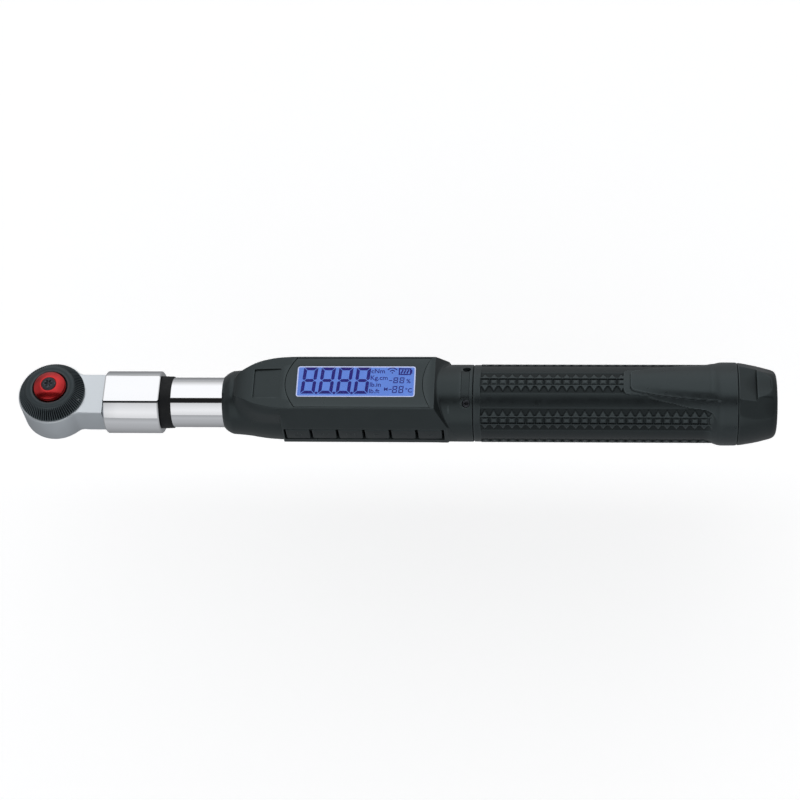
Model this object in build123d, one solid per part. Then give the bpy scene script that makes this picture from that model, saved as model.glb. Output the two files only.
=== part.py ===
from build123d import *
import math
import os

# Digital torque wrench, 3/8 in square drive. Millimetres.
# Origin: on the axis of the drive square, at the level of the tube's axis.
# +X runs along the tube to the tail cap, +Z is the display side, and the drive square points to -Z.

os.makedirs("parts", exist_ok=True)

# Fits
FIT = 0.08                  # radial clearance of a running fit
GAP = 0.1                   # end clearance between two faces that slide past each other

# Ratchet head
HEAD_R = 17.3
HEAD_HALF = 9.0
HEAD_EDGE = 2.0             # rounding of the head's lower edge
NECK_HALF_WIDTH = 11.2
NECK_HALF_HEIGHT = 8.7
NECK_END = 26.1
NECK_BLEND = 5.0
NECK_EDGE = 1.0
HEAD_CHAMFER = 0.5
SPIGOT_R = 10.15
SPIGOT_END = 60.0
BEAM_ROOT = 12.0            # depth of the beam's end inside the spigot
CAVITY_R = 12.2
FLOOR_Z = -5.0
POCKET_START = 8.0
POCKET_END = 20.5
POCKET_HALF_WIDTH = 8.6

# Drive gear and its square
SQUARE = 9.525
SQUARE_END = -21.0
SQUARE_TOP = -10.3
SHOULDER_R = 6.8
GEAR_TEETH = 72
GEAR_TIP_R = 11.4
GEAR_ROOT_R = 10.6
GEAR_HALF = 4.9
HUB_R = 6.42
HUB_TOP = 12.0
HUB_BORE_R = 5.0
HUB_BORE_FLOOR = 2.0
PLUNGER_BORE_R = 2.56
PLUNGER_BORE_END = -19.5
SHOULDER_GROOVE = (-9.95, -9.15)
SHOULDER_GROOVE_R = 6.2
HUB_GROOVE = (11.05, 11.75)
HUB_GROOVE_R = 5.9
SNAP_RING_R = (8.0, 7.6)    # lower ring, upper ring
EDGE_CUT = 0.5

# Detent ball
BALL_R = 1.7
BALL_Z = -15.0
BALL_REACH = 3.6            # from the drive axis to the ball's centre at rest
BALL_HOLE_R = 1.75
BALL_LIP_R = 1.6
BALL_LIP_START = 4.3

# Release button
BUTTON_R = 8.15
BUTTON_BASE = 14.2
BUTTON_RIM = 15.8
BUTTON_TOP = 18.4
BUTTON_BOSS_R = 4.9
BUTTON_BOSS_END = 11.0
PLUNGER_R = 2.5
PLUNGER_TIP = -17.2
PLUNGER_NECK = -12.0
PLUNGER_SHOULDER = -10.5
PLUNGER_WAIST_R = 1.8       # radius of the cone beside the ball
PLUNGER_SLOPE = 0.225
SCREW_HEAD_R = 3.65
SCREW_SEAT = 17.7
SCREW_TOP = 18.8
SCREW_RECESS = 0.8
SCREW_R = 1.5
SPRING_WIRE = 0.45
BUTTON_SPRING_R = 3.8
BUTTON_SPRING_TURNS = 5

# Reversing dial, pawl and selector pin
DIAL_R = 16.6
DIAL_BASE = 9.1
DIAL_RIM = 9.9
DIAL_TOP_R = 11.8
DIAL_TOP = 15.1
WELL_R = 8.8
WELL_FLOOR = 11.0
DIAL_BOSS_END = 5.3
DIAL_SWING = 40.0
PAWL_SWING = 12.0
PAWL_STEPS = 24             # positions at which the gear cuts the pawl's teeth
TOOTH_CLEARANCE = 0.12
PIVOT_X = 17.0
PIVOT_R = 1.5
PAWL_HALF = 4.8
PAWL_BACK_R = 13.2
SELECTOR_R = 1.0
SELECTOR_REACH = 14.3
SELECTOR_END = 1.3
SELECTOR_ROOM = 0.25

# Tube, collar and strain beam
TUBE_R = 12.5
TUBE_BORE_R = 10.2
TUBE_START = 34.0
TUBE_END = 340.5
COLLAR_START = 27.1
COLLAR_END = 55.3
COLLAR_R = 15.6
COLLAR_FLAT = 13.85
COLLAR_CHAMFER = 0.6
SEAL_END = 61.0
SEAL_R = 13.1
PRESS_GAP = 0.02            # between pieces pressed together
CROSS_PIN_X = 44.0
LOAD_PIN_X = 108.0
PIN_R = 2.0
PIN_HALF = 12.35
BEAM_END = 113.0
BEAM_HALF_WIDTH = 4.0
BEAM_HALF_HEIGHT = 6.5
WAIST_HALF_WIDTH = 3.0
WAIST = (70.0, 96.0)
GAUGE_X = (73.0, 87.0)
GAUGE_LENGTH = 6.0
GAUGE_HALF_HEIGHT = 2.5
GAUGE_THICK = 0.3
CABLE_R = 0.7
CABLE_HOLE = (116.8, 3.0, 1.4)      # x, y, radius
LEAD_HOLE = (197.5, 3.0, 1.8)

# Display housing
NOSE_X = 87.1
NOSE_R = 13.2
FRONT_X = 90.3
FRONT_R = 15.6
BODY_START = 117.0
BODY_R = 19.3
BODY_END = 196.0
REAR_X = 204.0
REAR_R = 19.2
SEAM_X = 212.2
PARTING_Z = -5.2
PLATEAU_Z = 20.2
PLATEAU_HALF = 14.9
PLATEAU_START = 120.0
PLATEAU_END = 193.5
HOOD_START = 92.5
SHOULDER = (16.4, 16.6)     # where the hood's chamfer meets its side wall
WALL = 2.4
HOUSING_SCREW_X = (100.0, 205.0)
HOUSING_SCREW_HEAD_R = 2.6
HOUSING_SCREW_LEVELS = (-16.2, -14.4, -10.3)   # head face, seat, end of the thread
SET_SCREW_X = 209.0
SET_SCREW_ANGLE = 31.5
SET_SCREW_R = 2.0
SET_SCREW_SUNK = 2.0
BAND_X = (206.5, 210.5)
BAND_HALF_ANGLE = 25.2
BAND_THICK = 0.9
NOSE_SEAL_X = (90.1, 91.9)
NOSE_SEAL_R = 13.6

# Display stack
PANEL_START = 119.5
PANEL_END = 187.5
PANEL_BOW = 5.3             # how far the panel's curved ends stand off their chords
PANEL_HALF = 13.9
LCD_START = 125.2
LCD_END = 184.0
LCD_LOW = -8.05
LCD_HIGH = 9.5
WINDOW_BORDER = 0.5
CELL_X = (122.6, 187.0)
CELL_Y = (-10.4, 11.8)
PANEL_SEAT = PLATEAU_Z - 1.6
BOARD_TOP = PLATEAU_Z - 4.2
BOARD_THICK = 1.2
BOARD_X = (116.4, 195.0)
BOARD_HALF = 13.0
BOARD_ROOM = 13.4
BOARD_SCREWS = [(x, y) for x in (118.3, 192.6) for y in (-10, 10)]
BOARD_SCREW_R = 0.8
BOARD_SCREW_HEAD_R = 1.5
POST_R = 1.6

# Keys
KEY_COUNT = 6
KEY_PITCH = 13.15
KEY_START = 119.2
KEY_LOW = -2.0
KEY_HIGH = 6.8
KEY_FACE = -19.6
KEY_BACK = -16.2
KEY_SPACE = 1.1
KEY_FLANGE = -17.0
KEY_LIP = 0.7               # how far the flange stands out above and below the key
KEY_EDGE = 0.45
KEY_BOARD_X = (118.2, 198.0)
STRIP_FACE = -19.5          # flat of the housing that the keys stand in
STRIP_LOW = -4.6

# Handle, batteries and tail cap
CORE_R = 15.6
GRIP_R = 18.9
FLARE_START = 329.0
FLARE_R = 20.5
FLARE_X = 333.0
GRIP_END = 341.5
CORE_END = 330.0
HANDLE_TURN = 6.0           # turn of the tongue and of the cap's recess towards +Y
TONGUE_START = 286.0
TONGUE_HALF = 7.5
CAP_START = 341.65
CAP_END = 360.9
CAP_END_R = 16.2
CAP_NECK_START = 331.0
CAP_NECK_R = 10.12
CAP_NECK_BORE = 7.8
CAP_BORE_END = 350.0
CAP_GROOVE = (336.4, 338.0)
CAP_GROOVE_R = 8.8
CAP_CONTACT_X = (334.0, 335.2)
CAP_SPRING_R = 4.6
CAP_SPRING_TURNS = 3
BATTERY_R = 7.25
BATTERY_LENGTH = 50.5
BATTERY_NUB = 1.0
BATTERY_START = 226.0
BATTERY_ROOM = (222.0, 329.5)
SLEEVE_FLOOR = 223.5
LEAD_Y = (1.5, 4.5)
LEAD_R = 0.6


def block(x, y, z):
    """Box from three (low, high) pairs."""
    size = [high - low for low, high in (x, y, z)]
    middle = [(high + low) / 2 for low, high in (x, y, z)]
    return Pos(*middle) * Box(*size)


def rod_x(radius, start, end, y=0, z=0):
    return Pos((start + end) / 2, y, z) * Rot(0, 90, 0) * Cylinder(radius, end - start)


def rod_y(radius, start, end, x=0, z=0):
    return Pos(x, (start + end) / 2, z) * Rot(90, 0, 0) * Cylinder(radius, end - start)


def rod_z(radius, start, end, x=0, y=0):
    return Pos(x, y, (start + end) / 2) * Cylinder(radius, end - start)


def ring_x(outer, inner, start, end):
    return rod_x(outer, start, end) - rod_x(inner, start - 1, end + 1)


def ring_z(outer, inner, start, end):
    return rod_z(outer, start, end) - rod_z(inner, start - 1, end + 1)


def turned_x(profile):
    """Solid turned about the X axis from (x, radius) points."""
    return revolve(make_face(Polyline(*profile, close=True)), Axis.X)


def turned_z(profile):
    """Solid turned about the Z axis from (radius, z) points."""
    points = [(radius, 0, z) for radius, z in profile]
    return revolve(make_face(Polyline(*points, close=True)), Axis.Z)


def coil(radius, wire, height, turns):
    """Helical spring along +Z from the origin."""
    path = Helix(height / turns, height, radius)
    section = Plane(origin=path @ 0, z_dir=path % 0) * Circle(wire)
    return sweep(section, path=path, is_frenet=True)


def cable(radius, points):
    """Round cable through the points, with rounded corners."""
    solid = None
    for start, end in zip(points, points[1:]):
        line = Line(start, end)
        piece = extrude(Plane(origin=start, z_dir=line % 0) * Circle(radius), line.length)
        solid = piece if solid is None else solid + piece
    for corner in points[1:-1]:
        solid = solid + Pos(*corner) * Sphere(radius)
    return solid


def save(node, shape):
    export_step(shape, f"parts/{node}.step")


def save_group(node, shapes):
    """Identical separate pieces in one node."""
    save(node, Compound(children=list(shapes)))


# ---------------------------------------------------------------- ratchet head

def head_body():
    """Forged head, neck and spigot, open at the top for the gear."""
    disc = rod_z(HEAD_R, -HEAD_HALF, HEAD_HALF)
    disc = fillet(disc.edges().sort_by(Axis.Z)[0], HEAD_EDGE)
    disc = chamfer(disc.edges().sort_by(Axis.Z)[-1], HEAD_CHAMFER)
    plan = Circle(HEAD_R) + Pos(NECK_END / 2, 0) * Rectangle(NECK_END, 2 * NECK_HALF_WIDTH)
    corners = plan.vertices().filter_by(lambda v: abs(abs(v.Y) - NECK_HALF_WIDTH) < 0.01 and 5 < v.X < 20)
    plan = fillet(corners, NECK_BLEND)
    neck = extrude(plan, NECK_HALF_HEIGHT, both=True)
    neck = neck - block((NECK_END - 0.001, 30), (-20, 20), (-20, 20))
    ends = neck.edges().filter_by(Axis.X).group_by(Axis.X)[-1]
    neck = fillet(ends, NECK_EDGE)
    body = disc + neck + rod_x(SPIGOT_R, NECK_END - 4, SPIGOT_END)
    body = body - rod_z(CAVITY_R, FLOOR_Z, HEAD_HALF + 1)
    pocket_width = (-POCKET_HALF_WIDTH, POCKET_HALF_WIDTH)
    body = body - block((POCKET_START, POCKET_END), pocket_width, (FLOOR_Z, -FLOOR_Z))
    body = body - rod_z(SHOULDER_R + FIT, -HEAD_HALF - 1, FLOOR_Z)
    body = body - selector_slot()
    body = body - rod_z(PIVOT_R, -HEAD_HALF - 1, -FLOOR_Z + 1.6, x=PIVOT_X)
    body = body - rod_z(PIN_R, -20, 20, x=CROSS_PIN_X)
    return body - rod_x(BEAM_HALF_WIDTH, SPIGOT_END - BEAM_ROOT, SPIGOT_END + 1)


def selector_slot():
    """Curved slot in the pocket's roof that the selector pin swings in."""
    room = SELECTOR_R + SELECTOR_ROOM
    ring = ring_z(SELECTOR_REACH + room, SELECTOR_REACH - room, -FLOOR_Z - 0.5, HEAD_HALF + 1)
    reach = SELECTOR_REACH * math.sin(math.radians(DIAL_SWING / 2)) + room
    return ring & block((5, 20), (-reach, reach), (0, 20))


def gear_outline(clearance=0.0):
    points = []
    for tooth in range(GEAR_TEETH):
        for step, radius in ((0.0, GEAR_ROOT_R), (0.5, GEAR_TIP_R)):
            angle = 2 * math.pi * (tooth + step) / GEAR_TEETH
            reach = radius + clearance
            points.append((reach * math.cos(angle), reach * math.sin(angle)))
    return make_face(Polyline(*points, close=True))


def drive_gear():
    """Ratchet gear, hub and drive square in one piece, bored for the plunger."""
    square = block((-SQUARE / 2, SQUARE / 2), (-SQUARE / 2, SQUARE / 2), (SQUARE_END, SQUARE_TOP))
    square = chamfer(square.edges().filter_by(Axis.Z), EDGE_CUT)
    square = chamfer(square.faces().sort_by(Axis.Z)[0].edges(), EDGE_CUT)
    gear = Pos(0, 0, -GEAR_HALF) * extrude(gear_outline(), 2 * GEAR_HALF)
    body = square + rod_z(SHOULDER_R, SQUARE_TOP, -GEAR_HALF) + gear + rod_z(HUB_R, GEAR_HALF, HUB_TOP)
    body = body - ring_z(SHOULDER_R + 1, SHOULDER_GROOVE_R, *SHOULDER_GROOVE)
    body = body - ring_z(HUB_R + 1, HUB_GROOVE_R, *HUB_GROOVE)
    body = body - rod_z(HUB_BORE_R, HUB_BORE_FLOOR, HUB_TOP + 1)
    body = body - rod_z(PLUNGER_BORE_R, PLUNGER_BORE_END, HUB_BORE_FLOOR + 1)
    body = body - rod_y(BALL_HOLE_R, -BALL_LIP_START, 0, z=BALL_Z)
    return body - rod_y(BALL_LIP_R, -SQUARE, 0, z=BALL_Z)


def retaining_rings():
    """Snap rings: below the head floor on the shoulder, and in the dial's well on the hub."""
    lower = ring_z(SNAP_RING_R[0], SHOULDER_GROOVE_R, *SHOULDER_GROOVE)
    upper = ring_z(SNAP_RING_R[1], HUB_GROOVE_R, *HUB_GROOVE)
    return [snap - block((5, 9), (-0.8, 0.8), (-20, 20)) for snap in (lower, upper)]


def plunger_pin():
    """Stem whose cone lets the detent ball sink when the button is pressed."""
    tip_r = PLUNGER_WAIST_R - PLUNGER_SLOPE * (PLUNGER_TIP - BALL_Z)
    neck_r = PLUNGER_WAIST_R - PLUNGER_SLOPE * (PLUNGER_NECK - BALL_Z)
    profile = [(0, PLUNGER_TIP), (tip_r, PLUNGER_TIP), (neck_r, PLUNGER_NECK), (neck_r, PLUNGER_SHOULDER),
               (PLUNGER_R, PLUNGER_SHOULDER), (PLUNGER_R, BUTTON_BOSS_END), (0, BUTTON_BOSS_END)]
    return turned_z(profile) - rod_z(SCREW_R, 5.0, BUTTON_BOSS_END + 1)


def release_button():
    """Domed cap with a boss that guides it in the hub."""
    dome = [(BUTTON_R, BUTTON_RIM - 0.5), (BUTTON_R - 0.5, BUTTON_RIM), (6.2, 17.2), (4.6, BUTTON_TOP)]
    profile = [(SCREW_R + 0.05, BUTTON_BOSS_END), (BUTTON_BOSS_R, BUTTON_BOSS_END),
               (BUTTON_BOSS_R, BUTTON_BASE), (BUTTON_R, BUTTON_BASE)] + dome
    profile += [(SCREW_HEAD_R + 0.1, BUTTON_TOP), (SCREW_HEAD_R + 0.1, SCREW_SEAT),
                (SCREW_R + 0.05, SCREW_SEAT)]
    return turned_z(profile)


def button_screw():
    """Six-lobe screw that ties the cap to the plunger."""
    head = turned_z([(0, SCREW_SEAT), (SCREW_HEAD_R, SCREW_SEAT), (SCREW_HEAD_R, SCREW_TOP - 0.5),
                     (SCREW_HEAD_R - 0.5, SCREW_TOP), (0, SCREW_TOP)])
    recess = rod_z(SCREW_R, SCREW_TOP - SCREW_RECESS, SCREW_TOP + 1)
    for lobe in range(6):
        angle = math.radians(60 * lobe)
        recess = recess + rod_z(0.55, SCREW_TOP - SCREW_RECESS, SCREW_TOP + 1,
                                x=SCREW_R * math.cos(angle), y=SCREW_R * math.sin(angle))
    return head - recess + rod_z(SCREW_R, 5.5, SCREW_SEAT)


def button_spring():
    floor = HUB_BORE_FLOOR + SPRING_WIRE + 0.05
    height = BUTTON_BOSS_END - SPRING_WIRE - 0.05 - floor
    return Pos(0, 0, floor) * coil(BUTTON_SPRING_R, SPRING_WIRE, height, BUTTON_SPRING_TURNS)


def reverse_dial():
    """Coned dial with a boss that closes the head and a well for the button."""
    body = turned_z([(HUB_R + FIT, DIAL_BOSS_END), (CAVITY_R - FIT, DIAL_BOSS_END),
                     (CAVITY_R - FIT, DIAL_BASE), (DIAL_R, DIAL_BASE), (DIAL_R, DIAL_RIM),
                     (DIAL_TOP_R, DIAL_TOP), (WELL_R + 0.5, DIAL_TOP + 0.2), (WELL_R, DIAL_TOP),
                     (WELL_R, WELL_FLOOR), (HUB_R + FIT, WELL_FLOOR)])
    return body - selector_pin()


def selector_pin():
    angle = math.radians(-DIAL_SWING / 2)
    x = SELECTOR_REACH * math.cos(angle)
    y = SELECTOR_REACH * math.sin(angle)
    return rod_z(SELECTOR_R, SELECTOR_END, 11.0, x=x, y=y)


def pawl_level(back_cut):
    """Plan of the pawl: a rocker with teeth cut by the gear at every angle it rocks through."""
    outline = [(8.5, -7.4), (12.5, -7.6), (18.6, -2.0), (18.6, 2.0), (12.5, 7.6), (8.5, 7.4)]
    plan = make_face(Polyline(*outline, close=True)) - Pos(PIVOT_X, 0) * Circle(PIVOT_R + FIT)
    if back_cut:
        plan = plan - (Circle(30) - Circle(PAWL_BACK_R))
    cutter = gear_outline(clearance=TOOTH_CLEARANCE)
    for step in range(PAWL_STEPS + 1):
        turn = PAWL_SWING / 2 - PAWL_SWING * step / PAWL_STEPS
        plan = plan - Pos(PIVOT_X, 0) * Rot(0, 0, turn) * Pos(-PIVOT_X, 0) * cutter
    return Pos(PIVOT_X, 0) * Rot(0, 0, -PAWL_SWING / 2) * Pos(-PIVOT_X, 0) * plan


def pawl():
    """Double-ended pawl, at rest with its -Y end in the gear."""
    split = SELECTOR_END - 0.2
    lower = Pos(0, 0, -PAWL_HALF) * extrude(pawl_level(False), split + PAWL_HALF)
    upper = Pos(0, 0, split) * extrude(pawl_level(True), PAWL_HALF - split)
    return lower + upper


def pawl_pivot():
    return rod_z(PIVOT_R, -HEAD_HALF + 0.2, -FLOOR_Z + 1.5, x=PIVOT_X)


# ---------------------------------------------------------------- tube and sensor

def head_collar():
    """Sleeve over the joint of head and tube, with two spanner flats."""
    cut = COLLAR_CHAMFER
    body = turned_x([(COLLAR_START, 0), (COLLAR_START, COLLAR_R - cut), (COLLAR_START + cut, COLLAR_R),
                     (COLLAR_END - cut, COLLAR_R), (COLLAR_END, COLLAR_R - cut), (COLLAR_END, 0)])
    body = body & block((0, 100), (-20, 20), (-COLLAR_FLAT, COLLAR_FLAT))
    body = body - rod_x(SPIGOT_R + 0.05, 20, TUBE_START)
    return body - rod_x(TUBE_R + PRESS_GAP, TUBE_START - 0.2, 70)


def seal_ring():
    return ring_x(SEAL_R, TUBE_R + PRESS_GAP, COLLAR_END + 0.05, SEAL_END)


def main_tube():
    tube = ring_x(TUBE_R, TUBE_BORE_R, TUBE_START, TUBE_END)
    tube = tube - rod_z(PIN_R, -20, 20, x=CROSS_PIN_X) - rod_z(PIN_R, -20, 20, x=LOAD_PIN_X)
    for x, y, radius in (CABLE_HOLE, LEAD_HOLE):
        tube = tube - rod_z(radius, 5, 20, x=x, y=y)
    for x in HOUSING_SCREW_X:
        tube = tube - rod_z(SCREW_R, -20, -5, x=x)
    return tube


def cross_pins():
    """Head pin and load pin: the tube bears on the head and beam through them."""
    return [rod_z(PIN_R, -PIN_HALF + 0.35, PIN_HALF - 0.35, x=x) for x in (CROSS_PIN_X, LOAD_PIN_X)]


def sensor_beam():
    """Steel bar that bends with the torque, with a waist for the gauges."""
    width = (-BEAM_HALF_WIDTH, BEAM_HALF_WIDTH)
    height = (-BEAM_HALF_HEIGHT, BEAM_HALF_HEIGHT)
    beam = block((SPIGOT_END, BEAM_END), width, height)
    for side in (-1, 1):
        cut = sorted((side * WAIST_HALF_WIDTH, side * (BEAM_HALF_WIDTH + 1)))
        beam = beam - block(WAIST, cut, (-10, 10))
    beam = beam + rod_x(BEAM_HALF_WIDTH, SPIGOT_END - BEAM_ROOT + GAP, SPIGOT_END + 1)
    return beam - rod_z(PIN_R, -20, 20, x=LOAD_PIN_X)


def strain_gauges():
    gauges = []
    for side in (-1, 1):
        y = sorted((side * WAIST_HALF_WIDTH, side * (WAIST_HALF_WIDTH + GAUGE_THICK)))
        for x in GAUGE_X:
            gauges.append(block((x, x + GAUGE_LENGTH), y, (-GAUGE_HALF_HEIGHT, GAUGE_HALF_HEIGHT)))
    return gauges


def sensor_cable():
    x, y = CABLE_HOLE[:2]
    return cable(CABLE_R, [(93.5, y, 7.3), (112, y, 7.3), (x, y, 9.5), (x, y, BOARD_TOP - BOARD_THICK - GAP)])


# ---------------------------------------------------------------- display housing

def housing_block():
    """Outer form of both shells: a turned body with a flat-topped hood on it."""
    body = turned_x([(NOSE_X, 0), (NOSE_X, NOSE_R), (FRONT_X, FRONT_R), (FRONT_X + 4, FRONT_R + 0.2),
                     (BODY_START, BODY_R), (BODY_END, BODY_R), (REAR_X, REAR_R), (SEAM_X, REAR_R),
                     (SEAM_X, 0)])
    section = [(-BODY_R, 0), (STRIP_FACE, KEY_HIGH), (-SHOULDER[0], SHOULDER[1]), (-PLATEAU_HALF, PLATEAU_Z),
               (PLATEAU_HALF, PLATEAU_Z), SHOULDER, (-STRIP_FACE, KEY_HIGH), (BODY_R, 0)]
    points = [(HOOD_START, y, z) for y, z in section]
    hood = extrude(make_face(Polyline(*points, close=True)), REAR_X - HOOD_START, dir=(1, 0, 0))
    side = [(HOOD_START, 0, 0), (HOOD_START, 0, FRONT_R - 0.2), (95, 0, 17.4), (98.5, 0, 18.9),
            (107, 0, 19.7), (PLATEAU_START, 0, PLATEAU_Z), (PLATEAU_END, 0, PLATEAU_Z),
            (REAR_X, 0, REAR_R - 0.3), (REAR_X, 0, 0)]
    hood = hood & extrude(make_face(Polyline(*side, close=True)), 25, both=True, dir=(0, 1, 0))
    plan = [(HOOD_START, 5.5, 0), (95, 8.5, 0), (99.5, 12.5, 0), (107, 16.2, 0), (BODY_START, 20, 0),
            (BODY_END - 2, 20, 0), (REAR_X, 11.5, 0)]
    outline = plan + [(x, -y, z) for x, y, z in reversed(plan)]
    hood = hood & extrude(make_face(Polyline(*outline, close=True)), 30, dir=(0, 0, 1))
    return body + hood + block((KEY_START - 1.4, 199.5), (STRIP_FACE, 0), (STRIP_LOW, KEY_HIGH + 1))


def housing_cavity():
    """Space inside both shells, around the tube and its pads."""
    gap = turned_x([(97, 0), (97, 14.2), (BODY_START, BODY_R - WALL), (BODY_END, BODY_R - WALL),
                    (REAR_X - 3, 15), (REAR_X - 3, 0)])
    for x in HOUSING_SCREW_X:
        gap = gap - rod_z(4.2, -20, -TUBE_R, x=x)
    room = block((115.5, 196), (-BOARD_ROOM, BOARD_ROOM), (10, PANEL_SEAT - GAP))
    for x, y in BOARD_SCREWS:
        room = room - rod_z(POST_R, BOARD_TOP + 0.05, 25, x=x, y=y)
    key_row = (KEY_START - 1.5, KEY_START + KEY_COUNT * KEY_PITCH + 1)
    keys = block(key_row, (KEY_FLANGE, -12.8), (KEY_LOW - 1, KEY_HIGH + 1))
    return gap + room + keys + rod_x(TUBE_R + PRESS_GAP, NOSE_X - 1, SEAM_X + 1)


def panel_outline(grow=0.0):
    """Display panel: straight sides, and ends that both bow towards the head."""
    half = PANEL_HALF + grow
    start = PANEL_START - grow
    end = PANEL_END + grow
    near = ThreePointArc((start + PANEL_BOW, -half), (start, 0), (start + PANEL_BOW, half))
    far = ThreePointArc((end + PANEL_BOW - 1.3, half), (end, 0), (end + PANEL_BOW - 1.3, -half))
    top = Line(near @ 1, far @ 0)
    bottom = Line(far @ 1, near @ 0)
    return make_face([near, top, far, bottom])


def window_block(low, high, grow=0.0):
    edge = WINDOW_BORDER + grow
    x = (LCD_START - edge, LCD_END + edge)
    y = (LCD_LOW - edge, LCD_HIGH + edge)
    return block(x, y, (low, high))


def key_window():
    x = (KEY_START - KEY_SPACE, KEY_START + KEY_COUNT * KEY_PITCH)
    return block(x, (-25, -15), (KEY_LOW - 0.2, KEY_HIGH + 0.2))


def set_screw_cut(radius, start, end):
    """Radial rods at the two set screw places."""
    rods = []
    for angle in (-SET_SCREW_ANGLE, SET_SCREW_ANGLE):
        rods.append(Rot(angle, 0, 0) * rod_z(radius, start, end, x=SET_SCREW_X))
    return rods


def housing_shell():
    shell = housing_block() - housing_cavity() - key_window()
    shell = shell - Pos(0, 0, PANEL_SEAT - GAP) * extrude(panel_outline(0.15), 5)
    for x, y in BOARD_SCREWS:
        shell = shell - rod_z(BOARD_SCREW_R, 10, PANEL_SEAT - 0.3, x=x, y=y)
    for x in HOUSING_SCREW_X:
        shell = shell - rod_z(SCREW_R + GAP, -25, -5, x=x)
        shell = shell - rod_z(HOUSING_SCREW_HEAD_R + 0.2, -25, HOUSING_SCREW_LEVELS[1], x=x)
    for hole in set_screw_cut(SET_SCREW_R, 8, 25):
        shell = shell - hole
    seat = ring_x(NOSE_SEAL_R + GAP, TUBE_R, NOSE_SEAL_X[0] - GAP, NOSE_SEAL_X[1] + GAP)
    return shell - index_band_ring(0.05) - seat


def housing_upper():
    return housing_shell() & block((0, 300), (-30, 30), (PARTING_Z + 0.03, 40))


def housing_lower():
    return housing_shell() & block((0, 300), (-30, 30), (-40, PARTING_Z - 0.03))


def index_band_ring(grow=0.0):
    """Curved band between the set screws."""
    outer = REAR_R + 0.3
    ring = ring_x(outer, outer - BAND_THICK - grow, BAND_X[0] - grow, BAND_X[1] + grow)
    half = math.radians(BAND_HALF_ANGLE + grow)
    reach = 30.0
    start = BAND_X[0] - 5
    wedge = [(start, 0, 0), (start, -reach * math.tan(half), reach), (start, reach * math.tan(half), reach)]
    return ring & extrude(make_face(Polyline(*wedge, close=True)), 15, dir=(1, 0, 0))


def nose_seal():
    return ring_x(NOSE_SEAL_R, TUBE_R + PRESS_GAP, *NOSE_SEAL_X)


def housing_screws():
    """Flat-headed screws that hold the lower shell to the tube."""
    face, seat, end = HOUSING_SCREW_LEVELS
    screws = []
    for x in HOUSING_SCREW_X:
        screws.append(rod_z(SCREW_R, seat, end, x=x) + rod_z(HOUSING_SCREW_HEAD_R, face, seat, x=x))
    return screws


def set_screws():
    top = REAR_R - SET_SCREW_SUNK
    bodies = set_screw_cut(SET_SCREW_R, TUBE_R, top)
    sockets = set_screw_cut(0.8, top - 2, top + 1)
    return [body - socket for body, socket in zip(bodies, sockets)]


# ---------------------------------------------------------------- display and keys

def display_bezel():
    """Black panel, with an opening for the window."""
    panel = Pos(0, 0, PANEL_SEAT) * extrude(panel_outline(), PLATEAU_Z - PANEL_SEAT - 0.05)
    return panel - window_block(PANEL_SEAT - 1, PLATEAU_Z + 1, 0.05)


def display_window():
    return window_block(PANEL_SEAT, PLATEAU_Z - 0.2)


def lcd_module():
    """Liquid crystal cell with its backlight below."""
    return block(CELL_X, CELL_Y, (BOARD_TOP + GAP, PANEL_SEAT - GAP))


def circuit_board():
    board = block(BOARD_X, (-BOARD_HALF, BOARD_HALF), (BOARD_TOP - BOARD_THICK, BOARD_TOP))
    for x, y in BOARD_SCREWS:
        board = board - rod_z(BOARD_SCREW_R, 10, 20, x=x, y=y)
    return board


def board_screws():
    screws = []
    for x, y in BOARD_SCREWS:
        seat = BOARD_TOP - BOARD_THICK
        shank = rod_z(BOARD_SCREW_R, seat, PANEL_SEAT - 0.4, x=x, y=y)
        screws.append(shank + rod_z(BOARD_SCREW_HEAD_R, seat - 0.8, seat, x=x, y=y))
    return screws


def circuit_chips():
    """Packages under the board, to each side of the tube."""
    top = BOARD_TOP - BOARD_THICK - 0.05
    chips = []
    for x, length, side in ((130, 9, 1), (152, 6, -1), (168, 12, 1)):
        y = sorted((side * 7.6, side * 12.4))
        chips.append(block((x, x + length), y, (top - 1.35, top)))
    return chips


def buzzer():
    return rod_z(4.3, -15.6, -13.4, x=150)


def key(index):
    """Key with a flange behind the window's edge."""
    start = KEY_START + index * KEY_PITCH
    x = (start, start + KEY_PITCH - KEY_SPACE)
    face = block(x, (KEY_FACE, KEY_BACK), (KEY_LOW, KEY_HIGH))
    face = chamfer(face.faces().sort_by(Axis.Y)[0].edges(), KEY_EDGE)
    return face + block(x, (KEY_FLANGE + GAP, KEY_BACK), (KEY_LOW - KEY_LIP, KEY_HIGH + KEY_LIP))


def key_middle(index):
    return KEY_START + index * KEY_PITCH + (KEY_PITCH - KEY_SPACE) / 2


def dome_switches():
    middle = (KEY_LOW + KEY_HIGH) / 2
    return [rod_y(2.2, -15.3, -15.0, x=key_middle(index), z=middle) for index in range(KEY_COUNT)]


def keypad_membrane():
    return block(KEY_BOARD_X, (-14.95, -14.4), (KEY_LOW - 0.9, KEY_HIGH + 0.9))


def key_board():
    return block(KEY_BOARD_X, (-14.35, -13.2), (KEY_LOW - 0.9, KEY_HIGH + 0.9))


# ---------------------------------------------------------------- handle, batteries, cap

def grip_core():
    return ring_x(CORE_R, TUBE_R + PRESS_GAP, SEAM_X + 0.15, CORE_END)


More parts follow.
